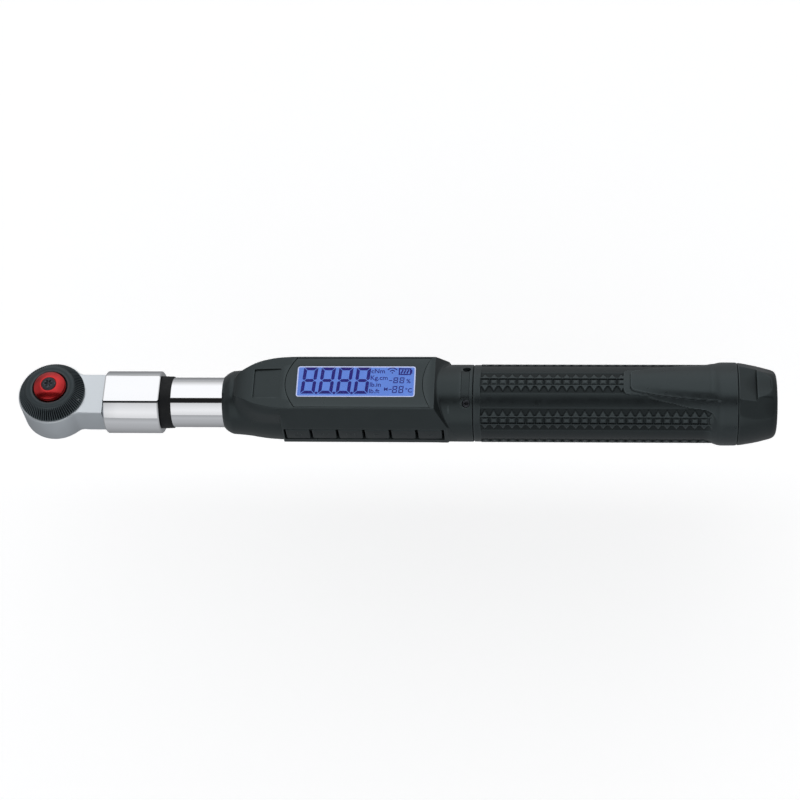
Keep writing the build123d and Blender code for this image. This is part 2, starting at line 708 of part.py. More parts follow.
def grip_sleeve():
    """Rubber sleeve with a flared tail and a raised tongue on top."""
    body = turned_x([(SEAM_X + 0.15, CORE_R), (SEAM_X + 0.15, GRIP_R), (FLARE_START, GRIP_R),
                     (FLARE_X, FLARE_R), (GRIP_END, FLARE_R), (GRIP_END, TUBE_R + PRESS_GAP),
                     (CORE_END, TUBE_R + PRESS_GAP), (CORE_END, CORE_R)])
    side = [(TONGUE_START, 0, GRIP_R - 3), (TONGUE_START, 0, GRIP_R + 0.2),
            (TONGUE_START + 6, 0, GRIP_R + 1.0), (FLARE_X, 0, FLARE_R), (FLARE_X, 0, GRIP_R - 3)]
    plate = extrude(make_face(Polyline(*side, close=True)), TONGUE_HALF, both=True, dir=(0, 1, 0))
    limit = turned_x([(TONGUE_START, CORE_R), (TONGUE_START, GRIP_R + 0.8), (FLARE_X, FLARE_R),
                      (FLARE_X, CORE_R)])
    return body + Rot(-HANDLE_TURN, 0, 0) * (plate & limit)


def battery_sleeve():
    outer = TUBE_BORE_R - GAP
    tube = ring_x(outer, BATTERY_R + 0.2, *BATTERY_ROOM)
    end = rod_x(outer, BATTERY_ROOM[0], SLEEVE_FLOOR)
    for y in LEAD_Y:
        end = end - rod_x(LEAD_R + 0.15, 220, 225, y=y, z=4)
    return tube + end


def battery_leads():
    leads = []
    for y in LEAD_Y:
        leads.append(cable(LEAD_R, [(SLEEVE_FLOOR - GAP, y, 4), (200, y, 4), (195.5, y, 6), (195.5, y, 8)]))
    return leads


def battery(start):
    nub = rod_x(2.7, start, start + BATTERY_NUB)
    body = turned_x([(start + BATTERY_NUB, 0), (start + BATTERY_NUB, BATTERY_R - 0.8),
                     (start + BATTERY_NUB + 0.8, BATTERY_R), (start + BATTERY_LENGTH - 0.5, BATTERY_R),
                     (start + BATTERY_LENGTH, BATTERY_R - 0.5), (start + BATTERY_LENGTH, 0)])
    return nub + body


def front_contact():
    return rod_x(6.6, SLEEVE_FLOOR, SLEEVE_FLOOR + 0.6) + rod_x(2.0, SLEEVE_FLOOR + 0.5, BATTERY_START - 0.05)


def cap_contact():
    """Plate in the cap that carries the spring and doesn't turn with the cap."""
    return rod_x(CAP_NECK_BORE - GAP, *CAP_CONTACT_X)


def cap_spring():
    battery_end = BATTERY_START + 2 * BATTERY_LENGTH
    start = battery_end + SPRING_WIRE + GAP
    height = CAP_CONTACT_X[0] - SPRING_WIRE - PRESS_GAP - start
    return Pos(start, 0, 0) * Rot(0, 90, 0) * coil(CAP_SPRING_R, SPRING_WIRE, height, CAP_SPRING_TURNS)


def tail_cap():
    """Screw cap: a tapered barrel with a recess, and a neck that enters the tube."""
    shell = turned_x([(CAP_START, 0), (CAP_START, FLARE_R - 0.3), (CAP_START + 1.2, FLARE_R),
                      (CAP_END - 1.3, CAP_END_R), (CAP_END - 0.4, CAP_END_R - 1.5), (CAP_END, 0)])
    recess = Rot(-HANDLE_TURN, 0, 0) * block((344.3, 355.3), (-6.8, 6.8), (18.0, 25))
    neck = rod_x(CAP_NECK_R, CAP_NECK_START, CAP_START + 1)
    groove = ring_x(CAP_NECK_R + 1, CAP_GROOVE_R, *CAP_GROOVE)
    return shell - recess + neck - groove - rod_x(CAP_NECK_BORE, CAP_NECK_START - 1, CAP_BORE_END)


def cap_o_ring():
    return Pos(337.2, 0, 0) * Rot(0, 90, 0) * Torus(9.47, 0.63)


# ---------------------------------------------------------------- write the nodes

def main():
    save("head_body", head_body())
    save("drive_gear", drive_gear())
    save_group("retaining_rings", retaining_rings())
    save("plunger_pin", plunger_pin())
    save("release_button", release_button())
    save("button_screw", button_screw())
    save("button_spring", button_spring())
    save("detent_ball", Pos(0, -BALL_REACH, BALL_Z) * Sphere(BALL_R))
    save("reverse_dial", reverse_dial())
    save("selector_pin", selector_pin())
    save("pawl", pawl())
    save("pawl_pivot", pawl_pivot())
    save("head_collar", head_collar())
    save("seal_ring", seal_ring())
    save("main_tube", main_tube())
    save_group("cross_pins", cross_pins())
    save("sensor_beam", sensor_beam())
    save_group("strain_gauges", strain_gauges())
    save("sensor_cable", sensor_cable())
    save("housing_upper", housing_upper())
    save("housing_lower", housing_lower())
    save("index_band", index_band_ring())
    save("nose_seal", nose_seal())
    save_group("housing_screws", housing_screws())
    save_group("set_screws", set_screws())
    save("display_bezel", display_bezel())
    save("display_window", display_window())
    save("lcd_module", lcd_module())
    save("circuit_board", circuit_board())
    save_group("board_screws", board_screws())
    save_group("circuit_chips", circuit_chips())
    save("buzzer", buzzer())
    for index in range(KEY_COUNT):
        save(f"key_{index + 1}", key(index))
    save_group("dome_switches", dome_switches())
    save("keypad_membrane", keypad_membrane())
    save("key_board", key_board())
    save("grip_core", grip_core())
    save("grip_sleeve", grip_sleeve())
    save("battery_sleeve", battery_sleeve())
    save_group("battery_leads", battery_leads())
    for index in range(2):
        save(f"battery_{index + 1}", battery(BATTERY_START + index * BATTERY_LENGTH))
    save("front_contact", front_contact())
    save("cap_contact", cap_contact())
    save("cap_spring", cap_spring())
    save("tail_cap", tail_cap())
    save("cap_o_ring", cap_o_ring())


main()
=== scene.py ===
import math

import bmesh
import bpy
from mathutils import Matrix, Vector


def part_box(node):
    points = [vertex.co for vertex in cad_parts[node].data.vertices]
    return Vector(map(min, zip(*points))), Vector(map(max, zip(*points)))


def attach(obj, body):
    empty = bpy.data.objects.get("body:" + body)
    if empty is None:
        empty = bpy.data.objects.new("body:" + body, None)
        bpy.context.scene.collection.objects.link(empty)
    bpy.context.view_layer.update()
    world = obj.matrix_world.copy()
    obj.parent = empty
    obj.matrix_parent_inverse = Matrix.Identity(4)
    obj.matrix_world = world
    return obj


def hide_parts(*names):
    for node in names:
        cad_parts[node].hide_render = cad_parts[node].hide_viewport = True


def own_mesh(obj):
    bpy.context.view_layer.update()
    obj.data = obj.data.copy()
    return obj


# Looks of the digital torque wrench. Lengths are millimetres in the row frame until MM turns them into metres.
# Angles round the handle are degrees from +Z, growing towards +Y.

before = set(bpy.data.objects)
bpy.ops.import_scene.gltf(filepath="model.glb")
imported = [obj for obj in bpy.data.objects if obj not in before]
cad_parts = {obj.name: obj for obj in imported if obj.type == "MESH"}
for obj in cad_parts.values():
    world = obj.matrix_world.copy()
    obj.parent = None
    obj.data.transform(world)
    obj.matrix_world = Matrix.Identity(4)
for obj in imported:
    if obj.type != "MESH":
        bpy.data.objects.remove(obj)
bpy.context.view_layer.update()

MM = 0.001
HANDLE_TURN = 6.0           # the sleeve and cap sit turned by this much towards +Y


# ---------------------------------------------------------------- numbers and curves

def smooth_step(low, high, value):
    t = min(max((value - low) / (high - low), 0.0), 1.0)
    return t * t * (3 - 2 * t)


def table_value(table, x):
    """Monotone cubic through (x, value) pairs."""
    xs = [row[0] for row in table]
    ys = [row[1] for row in table]
    x = min(max(x, xs[0]), xs[-1])
    slopes = [(ys[i + 1] - ys[i]) / (xs[i + 1] - xs[i]) for i in range(len(xs) - 1)]
    tangents = [slopes[0]]
    for a, b in zip(slopes, slopes[1:]):
        tangents.append(0.0 if a * b <= 0 else 2 * a * b / (a + b))
    tangents.append(slopes[-1])
    i = max(j for j in range(len(xs) - 1) if xs[j] <= x)
    h = xs[i + 1] - xs[i]
    t = (x - xs[i]) / h
    start = (1 + 2 * t) * (1 - t) ** 2 * ys[i] + t * (1 - t) ** 2 * h * tangents[i]
    end = t * t * (3 - 2 * t) * ys[i + 1] + t * t * (t - 1) * h * tangents[i + 1]
    return start + end


def smooth_min(a, b, k):
    h = max(k - abs(a - b), 0.0) / k
    return min(a, b) - h * h * k / 4


def smooth_max(a, b, k):
    return -smooth_min(-a, -b, k)


def spread(start, end, count):
    return [start + (end - start) * i / (count - 1) for i in range(count)]


def crowded(start, end, count):
    """Values from start to end, closer together near both ends."""
    return [start + (end - start) * (0.5 - 0.5 * math.cos(math.pi * i / (count - 1))) for i in range(count)]


def soften(points, radius, closed=True, steps=4):
    """Rounds the corners of a 2-D polyline."""
    out = []
    count = len(points)
    for i, corner in enumerate(points):
        if not closed and i in (0, count - 1):
            out.append(corner)
            continue
        p = Vector(corner)
        before = Vector(points[i - 1]) - p
        after = Vector(points[(i + 1) % count]) - p
        cut = min(radius, 0.45 * before.length, 0.45 * after.length)
        start = p + before.normalized() * cut
        end = p + after.normalized() * cut
        for step in range(steps + 1):
            t = step / steps
            q = start * (1 - t) ** 2 + p * 2 * t * (1 - t) + end * t * t
            out.append((q.x, q.y))
    return out


def round_rect(x, y, radius, steps=6):
    """Rounded rectangle from (low, high) pairs, counter-clockwise."""
    centres = ((x[1] - radius, y[1] - radius, 0), (x[0] + radius, y[1] - radius, 90),
               (x[0] + radius, y[0] + radius, 180), (x[1] - radius, y[0] + radius, 270))
    out = []
    for cx, cy, turn in centres:
        for step in range(steps + 1):
            a = math.radians(turn + 90 * step / steps)
            out.append((cx + radius * math.cos(a), cy + radius * math.sin(a)))
    return out


def polar(radius, angle):
    """(y, z) at an angle in degrees from +Z towards +Y."""
    return radius * math.sin(math.radians(angle)), radius * math.cos(math.radians(angle))


# ---------------------------------------------------------------- meshes

def finish_mesh(mesh, sharp=32.0):
    """Merges double points, turns the faces outwards and marks the sharp edges."""
    bm = bmesh.new()
    bm.from_mesh(mesh)
    bmesh.ops.remove_doubles(bm, verts=bm.verts, dist=0.4e-6)
    bmesh.ops.dissolve_degenerate(bm, edges=bm.edges, dist=0.3e-6)
    bmesh.ops.recalc_face_normals(bm, faces=bm.faces)
    for face in bm.faces:
        face.smooth = True
    for edge in bm.edges:
        flat = len(edge.link_faces) == 2 and edge.calc_face_angle(0.0) < math.radians(sharp)
        edge.smooth = flat
    bm.to_mesh(mesh)
    bm.free()
    mesh.update()


def mesh_object(name, points, faces, sharp=32.0):
    mesh = bpy.data.meshes.new(name)
    mesh.from_pydata([(x * MM, y * MM, z * MM) for x, y, z in points], [], faces)
    finish_mesh(mesh, sharp)
    obj = bpy.data.objects.new(name, mesh)
    bpy.context.scene.collection.objects.link(obj)
    return obj


def mount(obj, body, slot, material, *nodes):
    """Gives the piece its finish, its body, and the CAD nodes it stands for."""
    obj.data.materials.clear()
    obj.data.materials.append(material)
    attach(obj, body)
    if nodes:
        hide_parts(*nodes)
    return obj


class Shape:
    """Points and faces of several closed parts collected into one mesh."""

    def __init__(self):
        self.points = []
        self.faces = []

    def add(self, points, faces):
        base = len(self.points)
        self.points.extend(points)
        self.faces.extend([tuple(base + i for i in face) for face in faces])

    def loft(self, loops, wrap=False):
        """Skin through closed loops of equal length, capped at both ends unless wrapped."""
        count = len(loops[0])
        points = [p for loop in loops for p in loop]
        faces = []
        rows = len(loops) if wrap else len(loops) - 1
        for row in range(rows):
            a = row * count
            b = (row + 1) % len(loops) * count
            for col in range(count):
                nxt = (col + 1) % count
                faces.append((a + col, a + nxt, b + nxt, b + col))
        if not wrap:
            faces.append(tuple(range(count)))
            faces.append(tuple(range(len(points) - 1, len(points) - 1 - count, -1)))
        self.add(points, faces)

    def lathe_x(self, profile, count=128):
        """Closed (x, radius) profile turned about the X axis."""
        loops = []
        for x, radius in profile:
            loops.append([(x, *polar(radius, 360 * i / count)) for i in range(count)])
        self.loft(loops, wrap=True)

    def lathe_z(self, profile, count=128, x=0.0, y=0.0):
        """Closed (radius, z) profile turned about an axis along Z."""
        loops = []
        for radius, z in profile:
            ring = [2 * math.pi * i / count for i in range(count)]
            loops.append([(x + radius * math.cos(a), y + radius * math.sin(a), z) for a in ring])
        self.loft(loops, wrap=True)

    def prism(self, outline, low, high, place=None):
        """Straight prism over a 2-D outline, from low to high along the third axis."""
        put = place or (lambda u, v, w: (u, v, w))
        self.loft([[put(u, v, low) for u, v in outline], [put(u, v, high) for u, v in outline]])

    def build(self, name, sharp=32.0):
        return mesh_object(name, self.points, self.faces, sharp)


def evaluated(obj):
    """Turns the modifiers of an object into its mesh."""
    graph = bpy.context.evaluated_depsgraph_get()
    graph.update()
    mesh = bpy.data.meshes.new_from_object(obj.evaluated_get(graph))
    obj.modifiers.clear()
    old = obj.data
    obj.data = mesh
    mesh.name = obj.name
    bpy.data.meshes.remove(old)


def carve(obj, cutters, sharp=32.0):
    """Takes the cutters out of the object."""
    for cutter in cutters:
        change = obj.modifiers.new("cut", "BOOLEAN")
        change.object = cutter
        change.solver = "EXACT"
    evaluated(obj)
    for cutter in cutters:
        bpy.data.objects.remove(cutter)
    finish_mesh(obj.data, sharp)
    return obj


def soft_edges(obj, width, angle=40.0, segments=2):
    """Rounds every edge sharper than the angle."""
    change = obj.modifiers.new("round", "BEVEL")
    change.width = width * MM
    change.segments = segments
    change.limit_method = "ANGLE"
    change.angle_limit = math.radians(angle)
    change.use_clamp_overlap = True
    evaluated(obj)
    for polygon in obj.data.polygons:
        polygon.use_smooth = True
    return obj


# ---------------------------------------------------------------- materials

def node(tree, kind, **values):
    made = tree.nodes.new(kind)
    for name, value in values.items():
        if hasattr(made, name):
            setattr(made, name, value)
        else:
            made.inputs[name.replace("_", " ")].default_value = value
    return made


def mapped_noise(tree, scale, stretch, detail=5.0):
    """Noise in object space, stretched along the axes."""
    place = node(tree, "ShaderNodeTexCoord")
    mapping = node(tree, "ShaderNodeMapping")
    mapping.inputs["Scale"].default_value = stretch
    noise = node(tree, "ShaderNodeTexNoise", Scale=scale, Detail=detail)
    tree.links.new(place.outputs["Object"], mapping.inputs["Vector"])
    tree.links.new(mapping.outputs["Vector"], noise.inputs["Vector"])
    return noise.outputs["Fac"]


def ranged(tree, value, low, high, start=0.3, end=0.7):
    change = node(tree, "ShaderNodeMapRange")
    change.inputs["From Min"].default_value = start
    change.inputs["From Max"].default_value = end
    change.inputs["To Min"].default_value = low
    change.inputs["To Max"].default_value = high
    tree.links.new(value, change.inputs["Value"])
    return change.outputs["Result"]


def mixed_color(tree, factor, a, b):
    mix = node(tree, "ShaderNodeMix", data_type="RGBA")
    for socket, value in (("A", a), ("B", b)):
        place = [s for s in mix.inputs if s.name == socket and s.type == "RGBA"][0]
        if isinstance(value, tuple):
            place.default_value = value
        else:
            tree.links.new(value, place)
    tree.links.new(factor, mix.inputs[0])
    return [s for s in mix.outputs if s.type == "RGBA"][0]


def shade(color, factor):
    return tuple(channel * factor for channel in color) + (1.0,)


def paint_hollow_shade(tree, shader, tint, specular, low, high):
    """Painted shade: makes a piece turned about X darker and duller where its radius is small, in its hollows."""
    place = node(tree, "ShaderNodeTexCoord")
    flat = node(tree, "ShaderNodeVectorMath", operation="MULTIPLY")
    flat.inputs[1].default_value = (0.0, 1.0, 1.0)
    tree.links.new(place.outputs["Object"], flat.inputs[0])
    reach = node(tree, "ShaderNodeVectorMath", operation="LENGTH")
    tree.links.new(flat.outputs["Vector"], reach.inputs[0])
    share = ranged(tree, reach.outputs["Value"], 0.0, 1.0, low * MM, high * MM)
    tree.links.new(ranged(tree, share, 0.35 * specular, 1.1 * specular, 0.0, 1.0),
                   shader.inputs["Specular IOR Level"])
    dark = node(tree, "ShaderNodeVectorMath", operation="SCALE")
    dark.inputs["Scale"].default_value = 0.45
    tree.links.new(tint, dark.inputs[0])
    return mixed_color(tree, share, dark.outputs["Vector"], tint)


def surface(name, color, rough, metal=0.0, vary=0.15, scale=220.0, grain=3000.0, bump=0.05, depth=0.02,
            stretch=(1, 1, 1), wear=0.0, worn=(0.5, 0.5, 0.5), coat=0.0, specular=0.5, glow=0.0,
            sheen_tint=(1.0, 1.0, 1.0), hollow_shade=None):
    """Painted, moulded or metal finish: uneven colour and gloss, fine grain, lighter worn edges, and, where asked,
    painted shade in the hollows.
    """
    material = bpy.data.materials.new(name)
    material.use_nodes = True
    tree = material.node_tree
    shader = tree.nodes["Principled BSDF"]
    cloud = mapped_noise(tree, scale, stretch)
    tint = mixed_color(tree, ranged(tree, cloud, 0.0, 1.0), shade(color, 1 - vary), shade(color, 1 + vary))
    if wear:
        edge = node(tree, "ShaderNodeNewGeometry").outputs["Pointiness"]
        amount = ranged(tree, edge, 0.0, wear, 0.505, 0.56)
        tint = mixed_color(tree, amount, tint, worn + (1.0,))
    shader.inputs["Specular IOR Level"].default_value = specular
    # Painted shade: darker, duller colour where the radius is small.
    if hollow_shade:
        tint = paint_hollow_shade(tree, shader, tint, specular, *hollow_shade)
    tree.links.new(tint, shader.inputs["Base Color"])
    shader.inputs["Specular Tint"].default_value = sheen_tint + (1.0,)
    tree.links.new(ranged(tree, cloud, rough * 0.85, rough * 1.15), shader.inputs["Roughness"])
    fine = mapped_noise(tree, grain, stretch, 3.0)
    relief = node(tree, "ShaderNodeBump", Strength=bump, Distance=depth * MM)
    tree.links.new(fine, relief.inputs["Height"])
    tree.links.new(relief.outputs["Normal"], shader.inputs["Normal"])
    shader.inputs["Metallic"].default_value = metal
    shader.inputs["Coat Weight"].default_value = coat
    if glow:
        tree.links.new(tint, shader.inputs["Emission Color"])
        shader.inputs["Emission Strength"].default_value = glow
    return material


def clear_material():
    """Thin hard-coated window with a faint sheen."""
    material = bpy.data.materials.new("clear_window")
    material.use_nodes = True
    tree = material.node_tree
    shader = tree.nodes["Principled BSDF"]
    cloud = mapped_noise(tree, 90.0, (1, 1, 1))
    tree.links.new(ranged(tree, cloud, 0.06, 0.12), shader.inputs["Roughness"])
    tree.links.new(ranged(tree, cloud, 0.04, 0.06), shader.inputs["Alpha"])
    shader.inputs["Base Color"].default_value = (0.2, 0.25, 0.4, 1.0)
    shader.inputs["Specular IOR Level"].default_value = 0.25
    return material


BLACK = (0.0145, 0.0175, 0.0185)
COOL = (0.80, 0.97, 1.0)

FINISHES = {
    "satin_steel": lambda: surface("satin_steel", (0.665, 0.705, 0.74), 0.38, 1.0, 0.05, 60, 5200, 0.25, 0.012),
    "drive_steel": lambda: surface("drive_steel", (0.36, 0.37, 0.38), 0.30, 1.0, 0.12, 300, 4200, 0.2),
    "spring_steel": lambda: surface("spring_steel", (0.50, 0.51, 0.53), 0.24, 1.0, 0.12, 300, 4200, 0.15),
    "red_anodised": lambda: surface("red_anodised", (0.60, 0.024, 0.026), 0.24, 0.9, 0.08, 260, 5000, 0.10,
                                    coat=0.35),
    "black_oxide": lambda: surface("black_oxide", (0.014, 0.015, 0.020), 0.36, 0.4, 0.2, 500, 5000, 0.15,
                                   wear=0.5, worn=(0.16, 0.17, 0.2), specular=0.35),
    "black_knurl": lambda: surface("black_knurl", (0.0065, 0.0095, 0.0125), 0.34, 0.2, 0.15, 380, 5200, 0.2,
                                   wear=0.6, worn=(0.22, 0.26, 0.28), specular=0.45, sheen_tint=COOL),
    "chrome": lambda: surface("chrome", (0.93, 0.935, 0.955), 0.055, 1.0, 0.02, 70, 1600, 0.03, 0.004,
                              stretch=(0.12, 1, 1)),
    "black_rubber": lambda: surface("black_rubber", (0.004, 0.005, 0.0065), 0.55, 0.0, 0.2, 400, 4200, 0.3,
                                    specular=0.3),
    "black_housing": lambda: surface("black_housing", BLACK, 0.32, 0.0, 0.10, 140, 3800, 0.20, 0.03,
                                     wear=0.45, worn=(0.08, 0.095, 0.10), specular=0.52,
                                     sheen_tint=COOL),
    "black_gloss": lambda: surface("black_gloss", (0.010, 0.012, 0.013), 0.27, 0.0, 0.10, 120, 3000, 0.08, 0.02,
                                   sheen_tint=COOL),
    "key_black": lambda: surface("key_black", (0.0075, 0.0092, 0.0105), 0.36, 0.0, 0.12, 300, 4200, 0.22, 0.03,
                                 wear=0.4, worn=(0.07, 0.085, 0.09), specular=0.42, sheen_tint=COOL),
    # grip_rubber and black_cap carry painted shade: darker, duller colour in their hollows, below the listed radii.
    "grip_rubber": lambda: surface("grip_rubber", (0.0185, 0.0222, 0.0240), 0.32, 0.0, 0.12, 240, 4000, 0.22, 0.03,
                                   wear=0.5, worn=(0.10, 0.12, 0.125), specular=0.5, sheen_tint=COOL,
                                   hollow_shade=(18.35, 19.2)),
    "black_cap": lambda: surface("black_cap", (0.0120, 0.0145, 0.0155), 0.32, 0.0, 0.10, 180, 4000, 0.2, 0.03,
                                 wear=0.5, worn=(0.10, 0.12, 0.125), specular=0.44, sheen_tint=COOL,
                                 hollow_shade=(14.0, 17.5)),
    "lcd_blue": lambda: surface("lcd_blue", (0.105, 0.205, 0.60), 0.5, 0.0, 0.07, 90, 2600, 0.05, specular=0.1,
                                glow=0.62),
    "lcd_white": lambda: surface("lcd_white", (0.60, 0.66, 0.90), 0.5, 0.0, 0.03, 200, 2600, 0.05, specular=0.1,
                                 glow=0.45),
    "lcd_ink": lambda: surface("lcd_ink", (0.012, 0.006, 0.15), 0.5, 0.0, 0.12, 200, 2600, 0.05, specular=0.1,
                               glow=0.55),
    "gauge_film": lambda: surface("gauge_film", (0.55, 0.35, 0.08), 0.4, 0.0, 0.2, 900, 5000, 0.1),
    "wire_sleeve": lambda: surface("wire_sleeve", (0.30, 0.03, 0.02), 0.45, 0.0, 0.15, 500, 4000, 0.2),
    "board_green": lambda: surface("board_green", (0.015, 0.09, 0.04), 0.35, 0.0, 0.3, 700, 4000, 0.2),
    "chip_black": lambda: surface("chip_black", (0.02, 0.02, 0.022), 0.45, 0.0, 0.2, 700, 5000, 0.2),
    "core_plastic": lambda: surface("core_plastic", (0.05, 0.052, 0.055), 0.5, 0.0, 0.15, 200, 4000, 0.2),
    "battery_wrap": lambda: surface("battery_wrap", (0.03, 0.16, 0.30), 0.28, 0.0, 0.15, 120, 3000, 0.05),
    "contact_brass": lambda: surface("contact_brass", (0.72, 0.50, 0.20), 0.25, 1.0, 0.12, 300, 4200, 0.1),
    "clear_window": clear_material,
}
made_finishes = {}


def finish_of(slot):
    """One shared material for each slot."""
    if slot not in made_finishes:
        made_finishes[slot] = FINISHES[slot]()
    return made_finishes[slot]


# ---------------------------------------------------------------- ratchet head

HEAD_R = 17.3
HEAD_HALF = 9.0
NECK_HALF = 11.2
NECK_END = 26.1
HEAD_EDGE = 2.0
NECK_EDGE = 0.8
NECK_BLEND_R = 5.0
CAVITY_R = 12.2
CAVITY_FLOOR = -5.0
BORE_R = 6.88


def head_outline():
    """Plan of head and neck as (x, y, nx, ny), from one neck corner round to the other."""
    centre_y = NECK_HALF + NECK_BLEND_R
    centre_x = math.sqrt((HEAD_R + NECK_BLEND_R) ** 2 - centre_y ** 2)
    start = math.atan2(centre_y, centre_x)
    half = []
    for x in spread(NECK_END, centre_x, 8)[:-1]:
        half.append((x, NECK_HALF, 0.0, 1.0))
    for t in spread(0.0, 1.0, 14):
        a = -math.pi / 2 - (math.pi / 2 - start) * t
        half.append((centre_x + NECK_BLEND_R * math.cos(a), centre_y + NECK_BLEND_R * math.sin(a),
                     -math.cos(a), -math.sin(a)))
    for a in spread(start, math.pi, 64)[1:]:
        half.append((HEAD_R * math.cos(a), HEAD_R * math.sin(a), math.cos(a), math.sin(a)))
    other = [(x, -y, nx, -ny) for x, y, nx, ny in reversed(half[:-1])]
    face = [(NECK_END, y, 0.0, y / NECK_HALF) for y in spread(-NECK_HALF, NECK_HALF, 13)[1:-1]]
    return half + other + face


def head_loop(outline, z, inset):
    """The outline moved inwards, with a smaller rounding and a lower top on the neck."""
    loop = []
    for x, y, nx, ny in outline:
        neck = smooth_step(11.0, 18.0, x)
        share = 1 - neck * (1 - NECK_EDGE / HEAD_EDGE)
        level = z * (1 - 0.06 * neck) if z > 0 else -HEAD_HALF + (z + HEAD_HALF) * share
        loop.append((x - nx * inset * share, y - ny * inset * share, level))
    return loop


def circle_loop(outline, radius, z):
    """Points on a circle, one in the direction of each outline point."""
    loop = []
    for x, y, nx, ny in outline:
        reach = math.hypot(x, y)
        loop.append((radius * x / reach, radius * y / reach, z))
    return loop


def ratchet_head():
    """Forged head and neck, hollow for the gear, with the spigot behind it."""
    outline = head_outline()
    edge = HEAD_EDGE
    rows = [head_loop(outline, -HEAD_HALF, edge)]
    for step in range(1, 7):
        a = math.radians(90 * step / 6)
        rows.append(head_loop(outline, -HEAD_HALF + edge * (1 - math.cos(a)), edge * (1 - math.sin(a))))
    for z, inset in ((0.0, 0.0), (7.9, 0.0), (8.45, 0.08), (8.75, 0.24), (8.92, 0.45), (9.0, 0.75)):
        rows.append(head_loop(outline, z, inset))
    rim = circle_loop(outline, CAVITY_R, HEAD_HALF)
    for share in (0.08, 0.2, 0.35, 0.5, 0.65, 0.8, 0.92):
        between = []
        for (ax, ay, az), (bx, by, bz) in zip(rows[12], rim):
            x = ax + (bx - ax) * share
            level = HEAD_HALF * (1 - 0.06 * smooth_step(11.0, 18.0, x))
            between.append((x, ay + (by - ay) * share, level))
        rows.append(between)
    inner = [circle_loop(outline, CAVITY_R, z) for z in (HEAD_HALF, CAVITY_FLOOR)]
    inner += [circle_loop(outline, BORE_R, CAVITY_FLOOR), circle_loop(outline, BORE_R, -8.7),
              circle_loop(outline, BORE_R + 0.3, -HEAD_HALF)]
    shape = Shape()
    shape.loft(rows + inner, wrap=True)
    step = NECK_END + 0.05
    spigot = [(NECK_END - 0.5, 7.0), (60.0, 7.0), (60.0, 9.6), (59.4, 10.15), (step, 10.15), (step, 8.2),
              (NECK_END - 0.5, 8.2)]
    shape.lathe_x(spigot, 96)
    return mount(shape.build("ratchet_head"), "frame", "satin_steel", finish_of("satin_steel"), "head_body")


DIAL_R = 16.6
GROOVES = 84


def dial_profile():
    """(radius, z, groove share) from the boss up the cone and down into the well."""
    return [(6.5, 5.3, 0), (12.1, 5.3, 0), (12.1, 9.1, 0), (16.2, 9.1, 0), (16.5, 9.2, 0), (16.6, 9.45, 0.1),
            (16.6, 9.8, 0.5), (16.45, 10.05, 1), (15.6, 10.95, 1), (14.4, 12.25, 1), (13.3, 13.45, 1),
            (12.7, 14.1, 0.6), (12.25, 14.6, 0.0), (11.8, 14.95, 0), (11.3, 15.15, 0), (10.4, 15.25, 0),
            (9.7, 15.28, 0), (9.1, 15.2, 0), (8.85, 14.95, 0), (8.8, 14.5, 0), (8.8, 11.0, 0), (6.5, 11.0, 0)]


def reversing_dial():
    """Coned dial with fine V grooves down its slope."""
    per_groove = 6
    count = GROOVES * per_groove
    cone = Vector((1.0, 0.87)).normalized()
    loops = []
    for radius, z, share in dial_profile():
        loop = []
        for i in range(count):
            phase = abs(2 * (i % per_groove) / per_groove - 1)
            cut = 0.72 * share * max(0.0, 1 - phase * 1.1)
            a = 2 * math.pi * i / count
            r = radius - cone.x * cut
            loop.append((r * math.cos(a), r * math.sin(a), z - cone.y * cut))
        loops.append(loop)
    shape = Shape()
    shape.loft(loops, wrap=True)
    return mount(shape.build("reversing_dial", 50), "dial", "black_knurl", finish_of("black_knurl"),
                 "reverse_dial")


def push_button():
    """Red domed cap with a rolled rim and a seat for the screw."""
    profile = soften([(1.6, 11.0), (4.9, 11.0), (4.9, 14.2), (8.15, 14.2)], 0.25, closed=False)
    profile += [(8.15, 15.0), (8.13, 15.25), (8.05, 15.42), (7.92, 15.5)]
    profile += [(r, 5.0 + math.sqrt(13.9 ** 2 - r * r)) for r in (7.8, 7.6, 7.3, 6.9, 6.4, 5.8, 5.2, 4.7, 4.3)]
    profile += [(4.0, 18.25), (3.85, 18.2), (3.76, 18.05), (3.74, 17.7), (1.6, 17.7)]
    shape = Shape()
    shape.lathe_z(profile, 160)
    return mount(shape.build("push_button"), "button", "red_anodised", finish_of("red_anodised"),
                 "release_button")


def lobe_ring(radius, lobe, z, count=72):
    ring = []
    for i in range(count):
        a = 2 * math.pi * i / count
        r = radius + lobe * math.cos(6 * a)
        ring.append((r * math.cos(a), r * math.sin(a), z))
    return ring


def lobed_screw():
    """Button head with a six-lobed socket."""
    profile = [(0.02, 5.5), (1.5, 5.5), (1.5, 17.7), (3.55, 17.7), (3.65, 17.8), (3.65, 18.15), (3.58, 18.38),
               (3.4, 18.56), (3.1, 18.7), (2.7, 18.78), (2.35, 18.8)]
    loops = [lobe_ring(r, 0.0, z) for r, z in profile]
    loops += [lobe_ring(1.78, 0.42, 18.78), lobe_ring(1.66, 0.42, 18.65), lobe_ring(1.64, 0.42, 18.05),
              lobe_ring(0.6, 0.0, 17.95), lobe_ring(0.02, 0.0, 17.9)]
    shape = Shape()
    shape.loft(loops)
    return mount(shape.build("lobed_screw"), "button", "black_oxide", finish_of("black_oxide"), "button_screw")


